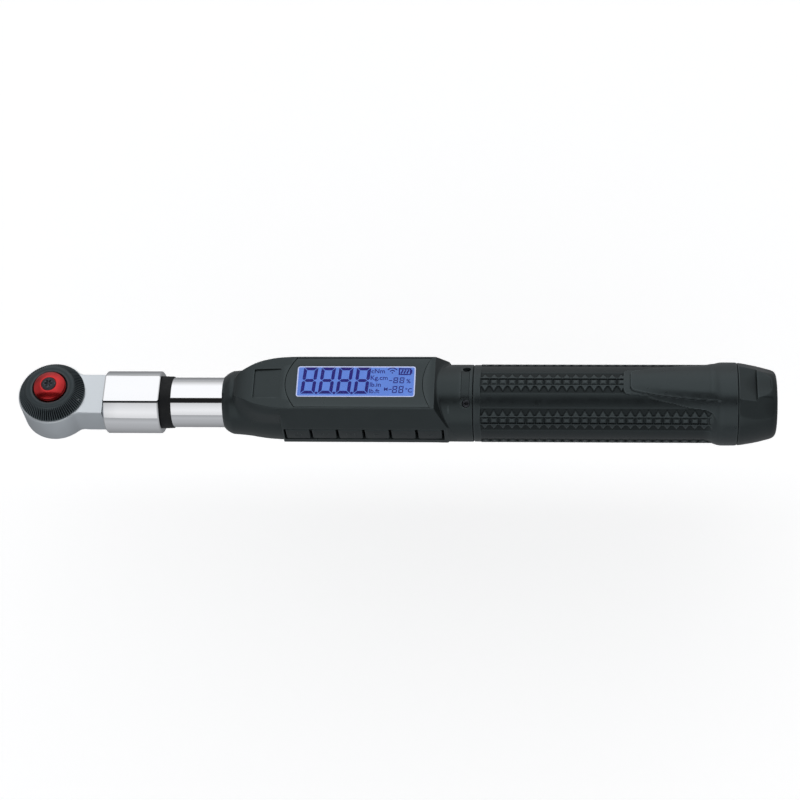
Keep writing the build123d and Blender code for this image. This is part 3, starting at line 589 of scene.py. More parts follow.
def return_spring():
    """Coil under the button."""
    low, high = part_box("button_spring")
    coil, wire, turns, steps, travel = 3.8, 0.45, 5, 24, 2.0
    bottom, top = low.z / MM + wire, high.z / MM - wire
    loops = []
    for i in range(turns * steps + 1):
        a = 2 * math.pi * i / steps
        z = bottom + (top - bottom) * i / (turns * steps)
        ring = []
        for k in range(10):
            b = 2 * math.pi * k / 10
            r = coil + wire * math.cos(b)
            ring.append((r * math.cos(a), r * math.sin(a), z + wire * math.sin(b)))
        loops.append(ring)
    shape = Shape()
    shape.loft(loops)
    obj = mount(shape.build("return_spring"), "drive", "spring_steel", finish_of("spring_steel"), "button_spring")
    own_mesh(obj)
    return obj


# ---------------------------------------------------------------- collar, seal and tube

def collar_loop(x, radius, flat):
    """Circle with a flat on top and below, its corners always in the same places."""
    corner = math.degrees(math.acos(min(flat / radius, 1.0)))
    loop = []
    for centre in (0, 180):
        for t in spread(-1, 1, 9)[:-1]:
            y = flat * math.tan(math.radians(corner)) * t
            loop.append((x, y if centre == 0 else -y, flat if centre == 0 else -flat))
        for a in spread(centre + corner, centre + 180 - corner, 61)[:-1]:
            loop.append((x, *polar(radius, a)))
    return loop


def spanner_collar():
    """Plated sleeve over the head joint, with two spanner flats."""
    start, end, radius, flat, bore = 27.1, 55.3, 15.6, 13.85, 12.52
    edge = ((0.0, 0.62), (0.06, 0.54), (0.48, 0.12), (0.6, 0.03), (0.75, 0.0))
    outer = [(start + run, drop) for run, drop in edge] + [(end - run, drop) for run, drop in reversed(edge)]
    loops = []
    for x, drop in outer:
        loops.append(collar_loop(x, radius - drop, flat - 0.45 * drop))
    for x in (end, start):
        loops.append([(x, *polar(bore, math.degrees(math.atan2(y, z)))) for _, y, z in loops[0]])
    shape = Shape()
    shape.loft(loops, wrap=True)
    return mount(shape.build("spanner_collar", 20), "frame", "chrome", finish_of("chrome"), "head_collar")


def tube_seal():
    profile = soften([(55.35, 12.52), (61.0, 12.52), (61.0, 13.0), (55.35, 13.2)], 0.3)
    shape = Shape()
    shape.lathe_x(profile, 160)
    return mount(shape.build("tube_seal"), "frame", "black_rubber", finish_of("black_rubber"), "seal_ring")


def plated_tube():
    profile = soften([(34.0, 10.2), (340.5, 10.2), (340.5, 12.5), (34.0, 12.5)], 0.3)
    shape = Shape()
    shape.lathe_x(profile, 256)
    return mount(shape.build("plated_tube"), "frame", "chrome", finish_of("chrome"), "main_tube")


# ---------------------------------------------------------------- display housing

BODY_RADIUS = [(87.1, 12.95), (87.3, 13.2), (88.1, 14.05), (89.2, 14.8), (90.2, 15.35), (91.2, 15.75), (93.0, 15.95),
               (95.5, 16.15), (100.0, 16.6), (104.6, 17.35), (109.7, 18.0), (114.7, 18.35), (125.0, 18.75),
               (190.0, 18.95), (204.0, 19.2), (211.6, 19.2), (212.0, 19.1), (212.15, 18.9)]
HOOD_TOP = [(92.2, 14.0), (92.9, 15.2), (93.6, 16.2), (94.5, 17.0), (95.7, 17.7), (97.5, 18.35), (100.0, 18.9),
            (104.0, 19.35), (109.0, 19.75), (116.0, 20.05), (125.0, 20.2), (213.0, 20.2)]
HOOD_EDGE = [(92.2, 2.6), (92.9, 4.0), (93.6, 5.2), (94.5, 6.3), (95.7, 7.2), (97.5, 8.2), (100.0, 9.6),
             (104.0, 11.6), (109.0, 13.2), (116.0, 14.4), (125.0, 14.9), (213.0, 14.9)]
SHOULDER_Y = [(92.2, 9.2), (94.0, 9.8), (97.5, 10.9), (100.0, 12.1), (104.0, 14.0), (109.0, 15.4), (116.0, 16.2),
              (125.0, 16.4), (213.0, 16.4)]
SHOULDER_Z = [(92.2, 10.0), (94.0, 12.0), (97.5, 14.6), (100.0, 15.4), (104.0, 16.0), (109.0, 16.3), (116.0, 16.5),
              (125.0, 16.6), (213.0, 16.6)]
PARTING = [(87.1, -3.7), (89.8, -3.9), (102.0, -4.3), (115.0, -4.9), (213.0, -4.9)]
WALL = [(87.1, 0.4), (91.8, 1.6), (98.0, 2.4), (204.0, 2.4), (207.0, 4.0), (212.2, 6.0)]
STRIP_SPAN = (117.0, 117.7, 199.4, 200.8)
STRIP_TOP = (19.35, 6.95)
STRIP_LIP = (19.8, -4.9)
PLATEAU_Z = 20.2
SLOPE_START = 193.5
SLOPE = 1.9
TUBE_CLEAR = 12.55


def strip_share(x):
    start, full, last, end = STRIP_SPAN
    return smooth_step(start, full, x) * (1 - smooth_step(last, end, x))


def hood_corners(x):
    """Corners of the hood's section on one side: plateau edge, shoulder, strip top, strip lip."""
    top = min(table_value(HOOD_TOP, x), PLATEAU_Z - SLOPE * (x - SLOPE_START))
    radius = table_value(BODY_RADIUS, x)
    lip_z = table_value(PARTING, x)
    share = strip_share(x)
    round_top = (radius * 0.918, radius * 0.385)
    round_lip = (math.sqrt(radius ** 2 - lip_z ** 2) * 0.995, lip_z)
    full = (table_value(HOOD_EDGE, x), table_value(HOOD_TOP, x))
    shoulder = (table_value(SHOULDER_Y, x), table_value(SHOULDER_Z, x))
    strip_top = tuple(a + (b - a) * share for a, b in zip(round_top, STRIP_TOP))
    strip_lip = tuple(a + (b - a) * share for a, b in zip(round_lip, STRIP_LIP))
    return top, full, shoulder, strip_top, strip_lip


def line_reach(start, end, direction):
    """Distance from the axis to the line through two points, along a direction."""
    ny, nz = start[1] - end[1], end[0] - start[0]
    length = math.hypot(ny, nz)
    facing = (ny * direction[0] + nz * direction[1]) / length
    away = (ny * start[0] + nz * start[1]) / length
    return away / facing if facing > 0.05 else 1000.0


def crossing_angle(top, corners):
    """Angle at which the level line z = top meets the side of the section."""
    for a, b in zip(corners, corners[1:]):
        if b[1] <= top <= a[1]:
            t = (a[1] - top) / (a[1] - b[1])
            return math.degrees(math.atan2(a[0] + (b[0] - a[0]) * t, top))
    side = corners[0] if top > corners[0][1] else corners[-1]
    return math.degrees(math.atan2(*side))


def knot_angles(x):
    top, full, shoulder, strip_top, strip_lip = hood_corners(x)
    corners = [full, shoulder, strip_top, strip_lip]
    first = crossing_angle(min(top, full[1]), corners)
    knots = [0.0, min(first, 80.0)]
    for corner, limit in ((shoulder, 84.0), (strip_top, 88.0)):
        knots.append(min(max(math.degrees(math.atan2(*corner)), knots[-1] + 2.5), limit))
    knots.append(math.degrees(math.atan2(*strip_lip)))
    return knots


def section_radius(x, angle):
    """Outer radius of the housing at a station, at an angle from +Z on either side."""
    top, full, shoulder, strip_top, strip_lip = hood_corners(x)
    side = abs(angle)
    direction = polar(1.0, side)
    level = top / direction[1] if direction[1] > 0.05 else 1000.0
    if top <= 0:
        level = 0.0
    reach = smooth_min(level, line_reach(full, shoulder, direction), 0.4)
    reach = smooth_min(reach, line_reach(shoulder, strip_top, direction), 0.9)
    reach = smooth_min(reach, line_reach(strip_top, strip_lip, direction), 0.5)
    return smooth_max(table_value(BODY_RADIUS, x), reach, 0.5 + 1.6 * smooth_step(190.0, 197.0, x))


def upper_angles(x):
    """Angles of the upper shell's points, crowded at the section's corners."""
    knots = knot_angles(x)
    side = []
    for start, end, count in zip(knots, knots[1:], (30, 9, 17, 15)):
        side += crowded(start, end, count)[1:]
    return [-a for a in reversed(side)] + [0.0] + side


def shell_loop(x, angles, radius_of):
    """Closed loop of one shell at a station: outside, rounded border, inside."""
    wall = table_value(WALL, x)
    border = 0.22
    outer = []
    for i, a in enumerate(angles):
        r = radius_of(x, a)
        if i in (0, len(angles) - 1):
            r -= border
        outer.append((x, *polar(r, a)))
    inner = []
    for a in reversed(angles):
        inner.append((x, *polar(max(radius_of(x, a) - wall, TUBE_CLEAR), a)))
    return outer + inner


def shell_mesh(name, stations, angles_of, radius_of):
    """Shell through its loops, with both ends closed by strips between outside and inside."""
    shape = Shape()
    loops = [shell_loop(x, angles_of(x), radius_of) for x in stations]
    count = len(loops[0])
    points = [p for loop in loops for p in loop]
    faces = []
    for row in range(len(loops) - 1):
        a, b = row * count, (row + 1) * count
        for col in range(count):
            nxt = (col + 1) % count
            faces.append((a + col, a + nxt, b + nxt, b + col))
    for base in (0, (len(loops) - 1) * count):
        for col in range(count // 2 - 1):
            faces.append((base + col, base + col + 1, base + count - 2 - col, base + count - 1 - col))
    shape.add(points, faces)
    return shape.build(name, 24)


def housing_stations():
    front = [87.1, 87.2, 87.4, 87.8, 88.2, 88.8, 89.4, 90.0, 90.6, 91.2, 91.8]
    front += spread(92.2, 97.0, 17) + [97.6, 98.3, 99.2, 100.2, 101.4, 103, 105, 107.5, 110, 112.5, 114.7, 116.2]
    strip = [117.0, 117.15, 117.3, 117.4, 117.55, 117.7, 118.2]
    middle = spread(122, 192, 15) + [193.2]
    rear = spread(193.5, 199.2, 20) + spread(199.4, 200.8, 8) + spread(201.2, 204.4, 8)
    tail = [205.5, 207.2, 209.6, 211.3, 211.6, 211.8, 212.0, 212.1, 212.15]
    return front + strip + middle + rear + tail


def panel_outline(grow=0.0, steps=20):
    """Display panel: straight sides, and ends that both bow towards the head."""
    half = 13.9 + grow
    outline = []
    for start, bow, sign in ((119.5 - grow, 5.3, -1), (187.5 + grow, 4.0, 1)):
        for t in spread(-1, 1, steps):
            outline.append((start + bow * t * t, half * t * sign))
    return outline


def cutter(outline, low, high, place=None):
    shape = Shape()
    shape.prism(outline, low, high, place)
    return shape.build("cutter")


def radial_cutter(x, angle, radius, start, end, count=40):
    """Round cutter that points at the axis."""
    turn = Matrix.Rotation(math.radians(-angle), 4, "X")
    shape = Shape()
    loops = []
    for z in (start, end):
        ring = [2 * math.pi * i / count for i in range(count)]
        points = [Vector((x + radius * math.cos(a), radius * math.sin(a), z)) for a in ring]
        loops.append([tuple(turn @ p) for p in points])
    shape.loft(loops)
    return shape.build("cutter")


SET_SCREW_X = 209.0
SET_SCREW_ANGLES = (-30.5, 30.5)


def scoop_cutter():
    """Shallow scoop in the hood: a steep front wall and a floor that rises to the plateau."""
    outline = round_rect((103.6, 117.2), (-8.3, 8.0), 0.7, 3)
    rise = 0.085
    low = [(x, y, 18.35 + rise * (x - 103.6)) for x, y in outline]
    high = [(x, y, 25.0) for x, y in outline]
    shape = Shape()
    shape.loft([low, high])
    return shape.build("cutter")


def key_window_cutter():
    outline = round_rect((118.3, 198.1), (-2.2, 7.0), 0.5, 3)
    return cutter(outline, -25.0, -13.0, lambda u, v, w: (u, w, v))


def band_cutter(grow):
    """Shallow curved seat of the index band."""
    shape = Shape()
    angles = spread(-24.6 - grow, 24.6 + grow, 41)
    loops = []
    for a in angles:
        loops.append([(x, *polar(r, a)) for x, r in ((206.5 - grow, 18.6 - grow), (210.6 + grow, 18.6 - grow),
                                                     (210.6 + grow, 20.4), (206.5 - grow, 20.4))])
    shape.loft(loops)
    return shape.build("cutter")


def upper_housing():
    """Upper shell with the hood, scoop, panel recess, key window and screw holes."""
    obj = shell_mesh("upper_housing", housing_stations(), upper_angles, section_radius)
    cuts = [cutter(panel_outline(0.22), 16.0, 25.0), scoop_cutter(), key_window_cutter(), band_cutter(0.06)]
    cuts += [radial_cutter(SET_SCREW_X, a, 2.05, 14.0, 25.0) for a in SET_SCREW_ANGLES]
    carve(obj, cuts, 24)
    return mount(obj, "frame", "black_housing", finish_of("black_housing"), "housing_upper")


def lower_radius(x, angle):
    return table_value(BODY_RADIUS, x)


def lower_angles(x):
    radius = table_value(BODY_RADIUS, x)
    edge = 90 + math.degrees(math.asin(-table_value(PARTING, x) / radius)) + 2.4
    first = spread(edge, edge + 2, 4)
    last = spread(358 - edge, 360 - edge, 4)
    return first + spread(edge + 2, 358 - edge, 50)[1:-1] + last


def screw_seat(x):
    """Stepped round cutter under a housing screw."""
    shape = Shape()
    shape.lathe_z([(0.02, -30.0), (2.9, -30.0), (2.9, -15.5), (1.7, -15.5), (1.7, -10.0), (0.02, -10.0)], 48, x=x)
    return shape.build("cutter")


def lower_housing():
    """Lower shell with two countersunk screw places."""
    obj = shell_mesh("lower_housing", housing_stations(), lower_angles, lower_radius)
    carve(obj, [screw_seat(100.0), screw_seat(205.0)], 24)
    return mount(obj, "frame", "black_housing", finish_of("black_housing"), "housing_lower")


def index_strip():
    """Curved band between the set screws."""
    shape = Shape()
    loops = []
    for a in spread(-24.4, 24.4, 45):
        ends = 0.25 * smooth_step(23.4, 24.4, abs(a))
        section = soften([(206.55, 18.65), (210.55, 18.65), (210.55, 19.35 - ends), (206.55, 19.35 - ends)], 0.22)
        loops.append([(x, *polar(r, a)) for x, r in section])
    shape.loft(loops)
    return mount(shape.build("index_strip"), "frame", "black_gloss", finish_of("black_gloss"), "index_band")


def socket_screw(angle):
    """Set screw with a dished end and a hexagon socket, built along Z and turned into place."""
    turn = Matrix.Rotation(math.radians(-angle), 4, "X")
    loops = []
    for radius, z in ((0.02, 13.2), (1.95, 13.2), (1.98, 16.7), (1.9, 16.95), (1.7, 17.1), (1.3, 17.0)):
        loops.append([(radius, a, z) for a in spread(0, 350, 36)])
    for reach, z in ((0.95, 16.8), (0.9, 15.9), (0.02, 15.7)):
        ring = []
        for a in spread(0, 350, 36):
            flat = math.cos(math.radians((a % 60) - 30))
            ring.append((reach * math.cos(math.radians(30)) / flat, a, z))
        loops.append(ring)
    placed = []
    for loop in loops:
        row = []
        for radius, a, z in loop:
            p = Vector((SET_SCREW_X + radius * math.cos(math.radians(a)), radius * math.sin(math.radians(a)), z))
            row.append(tuple(turn @ p))
        placed.append(row)
    return placed


def socket_screws():
    shape = Shape()
    for angle in SET_SCREW_ANGLES:
        shape.loft(socket_screw(angle))
    return mount(shape.build("socket_screws"), "frame", "black_oxide", finish_of("black_oxide"), "set_screws")


# ---------------------------------------------------------------- display

WINDOW_X = (125.2, 184.0)
WINDOW_Y = (-8.05, 9.5)
FIELD_EDGE = 0.6
CELL_TOP = PLATEAU_Z - 0.5
INK = (PLATEAU_Z - 0.55, PLATEAU_Z - 0.44)


def display_panel():
    """Black panel with an opening for the window."""
    shape = Shape()
    shape.prism(panel_outline(), PLATEAU_Z - 1.65, PLATEAU_Z - 0.07)
    obj = shape.build("display_panel")
    hole = cutter(round_rect(WINDOW_X, WINDOW_Y, 1.35), 17.0, 25.0)
    carve(obj, [hole])
    soft_edges(obj, 0.18)
    return mount(obj, "frame", "black_housing", finish_of("black_housing"), "display_bezel")


def display_cell():
    """Lit blue field of the liquid crystal cell."""
    shape = Shape()
    x = (WINDOW_X[0] + 0.3, WINDOW_X[1] - 0.3)
    y = (WINDOW_Y[0] + 0.3, WINDOW_Y[1] - 0.3)
    shape.prism(round_rect(x, y, 1.1), PLATEAU_Z - 3.4, CELL_TOP)
    return mount(shape.build("display_cell"), "frame", "lcd_blue", finish_of("lcd_blue"), "lcd_module")


def display_border():
    """Light frame round the field."""
    outer = round_rect((WINDOW_X[0] + 0.04, WINDOW_X[1] - 0.04), (WINDOW_Y[0] + 0.04, WINDOW_Y[1] - 0.04), 1.3)
    inner = round_rect((WINDOW_X[0] + FIELD_EDGE, WINDOW_X[1] - FIELD_EDGE),
                       (WINDOW_Y[0] + FIELD_EDGE, WINDOW_Y[1] - FIELD_EDGE), 0.75)
    shape = Shape()
    low, high = PLATEAU_Z - 1.4, PLATEAU_Z - 0.38
    loops = [[(x, y, low) for x, y in outer], [(x, y, high) for x, y in outer],
             [(x, y, high) for x, y in inner], [(x, y, low) for x, y in inner]]
    shape.loft(loops, wrap=True)
    return mount(shape.build("display_border"), "frame", "lcd_blue", finish_of("lcd_white"))


def window_pane():
    """Clear cover, a hair below the panel."""
    shape = Shape()
    x = (WINDOW_X[0] + 0.03, WINDOW_X[1] - 0.03)
    y = (WINDOW_Y[0] + 0.03, WINDOW_Y[1] - 0.03)
    shape.prism(round_rect(x, y, 1.32), PLATEAU_Z - 0.32, PLATEAU_Z - 0.12)
    obj = shape.build("window_pane")
    return mount(obj, "frame", "clear_window", finish_of("clear_window"), "display_window")


def segment_polygons(width, height, bar, gap):
    """The seven bars of a digit, mitred where they meet."""
    half = height / 2
    top = [(gap, 0), (width - gap, 0), (width - gap - bar, -bar), (gap + bar, -bar)]
    side = [(0, -gap), (bar, -gap - bar), (bar, -half + bar / 2 + gap * 0.5), (bar * 0.5, -half + gap),
            (0, -half + bar * 0.5 + gap * 0.5)]
    middle = [(gap + bar * 0.55, -half), (gap + bar * 1.05, -half + bar / 2), (width - gap - bar * 1.05, -half + bar / 2),
              (width - gap - bar * 0.55, -half), (width - gap - bar * 1.05, -half - bar / 2),
              (gap + bar * 1.05, -half - bar / 2)]
    right = [(width - x, y) for x, y in side]
    lower = [[(x, -height - y) for x, y in piece] for piece in (top, side, right)]
    return [top, side, right, middle] + lower


def add_digit(shape, x, y, width, height, bar, gap, slant=0.077):
    """One figure of seven bars with its top left corner above (x, y)."""
    for piece in segment_polygons(width, height, bar, gap):
        outline = [(x + u + slant * (height + v), y + height + v) for u, v in piece]
        shape.prism(outline, *INK)


def add_stroke(shape, points, width, low=INK[0], high=INK[1]):
    """Line of constant width through the points."""
    for index, ((ax, ay), (bx, by)) in enumerate(zip(points, points[1:])):
        run = Vector((bx - ax, by - ay)).normalized() * width / 2
        step = 0.003 * (index % 2)
        outline = [(ax - run.x + run.y, ay - run.y - run.x), (bx + run.x + run.y, by + run.y - run.x),
                   (bx + run.x - run.y, by + run.y + run.x), (ax - run.x - run.y, ay - run.y + run.x)]
        shape.prism(outline, low - step, high + step)


def arc_points(x, y, radius, start, end, count=9):
    out = []
    for a in spread(start, end, count):
        out.append((x + radius * math.cos(math.radians(a)), y + radius * math.sin(math.radians(a))))
    return out


def display_figures():
    """Four large figures with their points."""
    shape = Shape()
    for index in range(4):
        x = 127.3 + 8.77 * index
        add_digit(shape, x, -6.15, 7.06, 15.0, 1.62, 0.26)
        if index < 3:
            dot = arc_points(x + 7.95, -5.7, 0.72, 0, 330, 12)
            shape.prism(dot, *INK)
    return mount(shape.build("display_figures"), "frame", "lcd_blue", finish_of("lcd_ink"))


def display_marks():
    """Signal arcs, battery mark, minus signs and the two small readings."""
    shape = Shape()
    for radius in (1.3, 2.7):
        add_stroke(shape, arc_points(172.4, 5.9, radius, 40, 140), 0.5)
    shape.prism(arc_points(172.4, 5.8, 0.38, 0, 330, 12), *INK)
    add_stroke(shape, [(175.9, 8.1), (181.4, 8.1), (181.4, 4.9), (175.9, 4.9), (175.9, 8.4)], 0.62)
    add_stroke(shape, [(182.0, 7.3), (182.0, 5.7)], 0.6)
    for x in (177.2, 178.6, 180.0):
        add_stroke(shape, [(x - 0.25, 5.8), (x + 0.35, 7.2)], 0.75)
    for x, y, height in ((173.0, -0.1, 3.3), (176.1, -0.1, 3.3), (172.7, -5.7, 4.0), (175.8, -5.7, 4.0)):
        add_digit(shape, x, y, 2.3, height, 0.5, 0.09)
    for y in (1.4, -3.7):
        add_stroke(shape, [(171.2, y), (172.3, y)], 0.4)
    return mount(shape.build("display_marks"), "frame", "lcd_blue", finish_of("lcd_ink"))


def display_text(name, words, x, y, size):
    """Small unit name on the display."""
    curve = bpy.data.curves.new(name, "FONT")
    curve.body = words
    curve.size = size * MM
    curve.extrude = 0.05 * MM
    curve.offset = 0.04 * MM
    curve.resolution_u = 3
    text = bpy.data.objects.new(name + "_curve", curve)
    bpy.context.scene.collection.objects.link(text)
    graph = bpy.context.evaluated_depsgraph_get()
    graph.update()
    mesh = bpy.data.meshes.new_from_object(text.evaluated_get(graph))
    bpy.data.objects.remove(text)
    mesh.transform(Matrix.Translation((x * MM, y * MM, (INK[0] + INK[1]) / 2 * MM)))
    finish_mesh(mesh)
    obj = bpy.data.objects.new(name, mesh)
    bpy.context.scene.collection.objects.link(obj)
    return mount(obj, "frame", "lcd_blue", finish_of("lcd_ink"))


def display_units():
    rows = (("unit_newton", "cNm", 161.9, 5.6), ("unit_kilogram", "Kg.cm", 161.6, 1.8),
            ("unit_inch", "lb.in", 161.4, -2.1), ("unit_foot", "lb.ft", 161.2, -5.8))
    for name, words, x, y in rows:
        display_text(name, words, x, y, 3.5)
    display_text("memory_mark", "M", 168.6, -4.4, 2.6)
    display_text("percent_mark", "%", 179.5, 0.0, 3.2)
    display_text("degree_mark", "°C", 179.1, -5.3, 3.3)


# ---------------------------------------------------------------- keys

KEY_PITCH = 13.15
KEY_START = 119.2
KEY_SPACE = 1.1
KEY_Z = (-2.0, 6.8)


def key_strokes(index):
    """Plain line symbol on each key, in the plane of its face."""
    symbols = (
        [arc_points(0, 0, 1.9, 130, 410, 12), [(0, 0.6), (0, 2.4)]],
        [[(-2.4, 1.6), (-1.2, -1.6), (0.0, 1.6)], [(1.0, -1.6), (2.6, 1.6)]],
        [[(-2.0, -1.7), (-2.0, 1.7), (0, -0.4), (2.0, 1.7), (2.0, -1.7)]],
        [[(-1.5, -1.8), (-1.5, 1.7), (1.7, 1.7)], [(-1.5, 0.1), (1.1, 0.1)]],
        [[(-1.8, -0.8), (0, 1.3), (1.8, -0.8)]],
        [[(-1.8, 0.9), (0, -1.2), (1.8, 0.9)]],
    )
    return symbols[index]


def push_key(index):
    """Moulded key with a rounded face, a flange behind it and a fine raised symbol."""
    start = KEY_START + index * KEY_PITCH
    end = start + KEY_PITCH - KEY_SPACE
    shape = Shape()
    loops = []
    for y, inset in ((-16.3, 0.0), (-18.7, 0.0), (-19.2, 0.12), (-19.5, 0.4), (-19.6, 0.85)):
        outline = round_rect((start + inset, end - inset), (KEY_Z[0] + inset, KEY_Z[1] - inset), 0.7, 4)
        loops.append([(x, y, z) for x, z in outline])
    shape.loft(loops)
    flange = round_rect((start, end), (KEY_Z[0] - 0.7, KEY_Z[1] + 0.7), 0.5, 3)
    shape.prism(flange, -16.9, -16.2, lambda u, v, w: (u, w, v))
    middle = ((start + end) / 2, (KEY_Z[0] + KEY_Z[1]) / 2)
    for number, stroke in enumerate(key_strokes(index)):
        bar = Shape()
        lift = 0.007 * number
        add_stroke(bar, [(x + middle[0], z + middle[1]) for x, z in stroke], 0.34, 19.5 - lift, 19.68 + lift)
        shape.add([(x, -z, y) for x, y, z in bar.points], bar.faces)
    name = f"key_{index + 1}"
    return mount(shape.build("push_" + name), name, "key_black", finish_of("key_black"), name)


# ---------------------------------------------------------------- handle sleeve

GRIP_START = 212.4
GRIP_END = 341.5
STUD_START = 216.0
STUD_PITCH = 4.45
STUD_END = 331.0
ROW_HALF = 5.9
ROW_EDGE = 6.9
RIB_EXTRA = 0.12
RIDGE = 0.95                # share of half a pitch beyond which the cross ridge stands
TEETH_END = 16.9
PATTERN_TURN = 4.0          # the studs sit turned by less than the tongue
STUD_HIGH = 0.8
STUD_TOP = 19.35
BASE_RADIUS = [(212.4, 18.75), (212.55, 18.95), (212.9, 19.1), (215.5, 19.1), (216.0, 18.95), (216.5, 18.5),
               (324.0, 18.5), (327.5, 18.8), (329.5, 19.4), (331.5, 20.1), (333.0, 20.45), (334.5, 20.55),
               (340.0, 20.5), (341.0, 20.45), (341.3, 20.3), (341.5, 20.05)]
APRON = [(27.0, 298.0), (31.0, 303.0), (36.0, 310.0), (42.5, 318.0), (46.0, 326.0), (52.0, 329.5), (63.0, 331.0),
         (180.0, 331.0)]
TONGUE_WIDTH = [(285.8, 7.5), (300.0, 8.7), (310.0, 9.6), (328.5, 10.9), (342.5, 11.6)]
BODY_WIDTH = [(289.0, 5.7), (296.0, 7.2), (304.0, 8.5), (312.0, 9.4), (328.5, 10.9), (342.5, 11.6)]


def wrapped(angle):
    return (angle + 180.0) % 360.0 - 180.0


def stud_height(x, offset):
    """Relief of one band: a row of pyramids between two ribs, and pointed teeth to each side."""
    phase = (x - STUD_START) / STUD_PITCH % 1.0
    across = abs(2 * phase - 1)
    side = abs(offset)
    if side < ROW_HALF:
        if across > RIDGE:
            return STUD_HIGH
        pyramid = min(1.0, 1.5 * (1 - max(across, side / ROW_HALF)))
        return 0.1 + (STUD_HIGH - 0.1) * pyramid
    if side < ROW_EDGE:
        return STUD_HIGH + RIB_EXTRA
    if side < TEETH_END:
        share = (side - ROW_EDGE) / (TEETH_END - ROW_EDGE)
        room = (1 - share) - across
        return 0.95 * STUD_HIGH * min(1.0, max(room, 0.0) / 0.30) * (1 - 0.2 * share)
    return 0.3 * smooth_step(TEETH_END, TEETH_END + 2.5, side)


def corner_distance(x, s, start, half, radius):
    """How far inside a strip that begins at start, with rounded corners, the point is."""
    dx = x - start
    dy = half - abs(s)
    if dx < radius and dy < radius:
        return radius - math.hypot(radius - dx, radius - dy)
    return min(dx, dy)


def tongue_height(x, turn):
    """Raised plate on top: a low ledge, then a rounded body that runs out into the flare."""
    if x < 285:
        return 0.0
    s = math.radians(turn) * 19.5
    fade = 1 - smooth_step(328.0, 334.0, x)
    ledge = corner_distance(x, s, 285.8, table_value(TONGUE_WIDTH, x), 2.2)
    body = corner_distance(x, s, 289.0, table_value(BODY_WIDTH, x), 2.4)
    low = 0.85 * smooth_step(0.0, 0.35, ledge)
    high = 1.0 * smooth_step(0.0, 0.4, body) + 0.4 * smooth_step(0.4, 5.0, body)
    return (low + high) * fade


def sleeve_radius(x, angle):
    turn = wrapped(angle - HANDLE_TURN)
    base = table_value(BASE_RADIUS, x)
    offset = (angle - PATTERN_TURN + 30.0) % 60.0 - 30.0
    limit = table_value(APRON, abs(turn))
    start = smooth_step(STUD_START - 0.2, STUD_START + 0.2, x)
    plain = smooth_step(limit - 0.35, limit + 0.1, x)
    inside = tongue_height(x, turn)
    relief = min(stud_height(x, offset) * start * (1 - plain), max(STUD_TOP - base, 0.0))
    skin = 0.8 * plain * (1 - smooth_step(327.5, 331.5, x))
    if inside > 0:
        relief = relief * (1 - smooth_step(0.0, 0.5, inside))
    return base + max(relief, skin, inside)


def sleeve_stations():
    start = [212.4, 212.5, 212.7, 212.95, 213.6, 214.6, 215.2, 215.5, 215.75]
    steps = 12
    studs = [STUD_START + STUD_PITCH * i / steps for i in range(int((331.6 - STUD_START) / STUD_PITCH * steps))]
    end = [331.6, 332.2, 333, 334, 336, 338, 339.5, 340.5, 340.9, 341.1, 341.3, 341.4, 341.5]
    return start + studs + end


def sleeve_angles():
    """Even steps round the handle, with extra points at both sides of every rib."""
    angles = [1.25 * i for i in range(288)]
    for band in range(6):
        for offset in (ROW_HALF - 0.4, ROW_HALF + 0.01, ROW_EDGE - 0.01, ROW_EDGE + 0.4):
            for side in (-1, 1):
                angles.append((PATTERN_TURN + 60 * band + side * offset) % 360)
    return sorted(angles)


def rubber_sleeve():
    """Moulded sleeve with six bands of studs, the tongue and the flared tail."""
    angles = sleeve_angles()
    loops = []
    for x in sleeve_stations():
        loops.append([(x, *polar(sleeve_radius(x, a), a)) for a in angles])
    for x, r in ((GRIP_END, 12.6), (330.0, 12.6), (330.0, 15.65), (GRIP_START, 15.65)):
        loops.append([(x, *polar(r, a)) for a in angles])
    shape = Shape()
    shape.loft(loops, wrap=True)
    return mount(shape.build("rubber_sleeve", 16), "frame", "grip_rubber", finish_of("grip_rubber"),
                 "grip_sleeve")


# ---------------------------------------------------------------- tail cap

CAP_START = 341.7
CAP_END = 360.9
CAP_RADIUS = [(341.7, 20.05), (341.8, 20.2), (342.1, 20.3), (343.4, 20.2), (345.4, 19.9), (350.4, 19.0),
              (355.4, 17.75), (358.0, 17.0), (359.2, 16.4), (360.0, 15.6), (360.5, 14.6), (360.75, 13.2),
              (360.85, 11.0), (360.9, 7.0)]
NOTCH_LEVEL = [(341.7, 18.1), (350.5, 15.6), (350.9, 16.9), (357.3, 16.75), (357.9, 17.6), (360.9, 19.0)]
FACET_ANGLE = 42.0
FACET_START = 345.0


def cap_radius(x, angle):
    """Turned barrel, cut flat on top and by two slanting facets beside the flat."""
    turn = wrapped(angle - HANDLE_TURN)
    radius = table_value(CAP_RADIUS, x)
    facing = math.cos(math.radians(turn))
    if facing > 0.4 and x > CAP_START + 0.65:
        xs = [row[0] for row in NOTCH_LEVEL]
        i = max(j for j in range(len(xs) - 1) if xs[j] <= x)
        a, b = NOTCH_LEVEL[i], NOTCH_LEVEL[i + 1]
        level = a[1] + (b[1] - a[1]) * (x - a[0]) / (b[0] - a[0])
        radius = smooth_min(radius, level / facing, 0.15)
    for side in (-1, 1):
        slope = math.cos(math.radians(turn - side * FACET_ANGLE))
        if slope > 0.4 and x < 359.9:
            level = 19.35 - 0.235 * (x - FACET_START)
            radius = smooth_min(radius, level / slope, 0.2)
    return radius


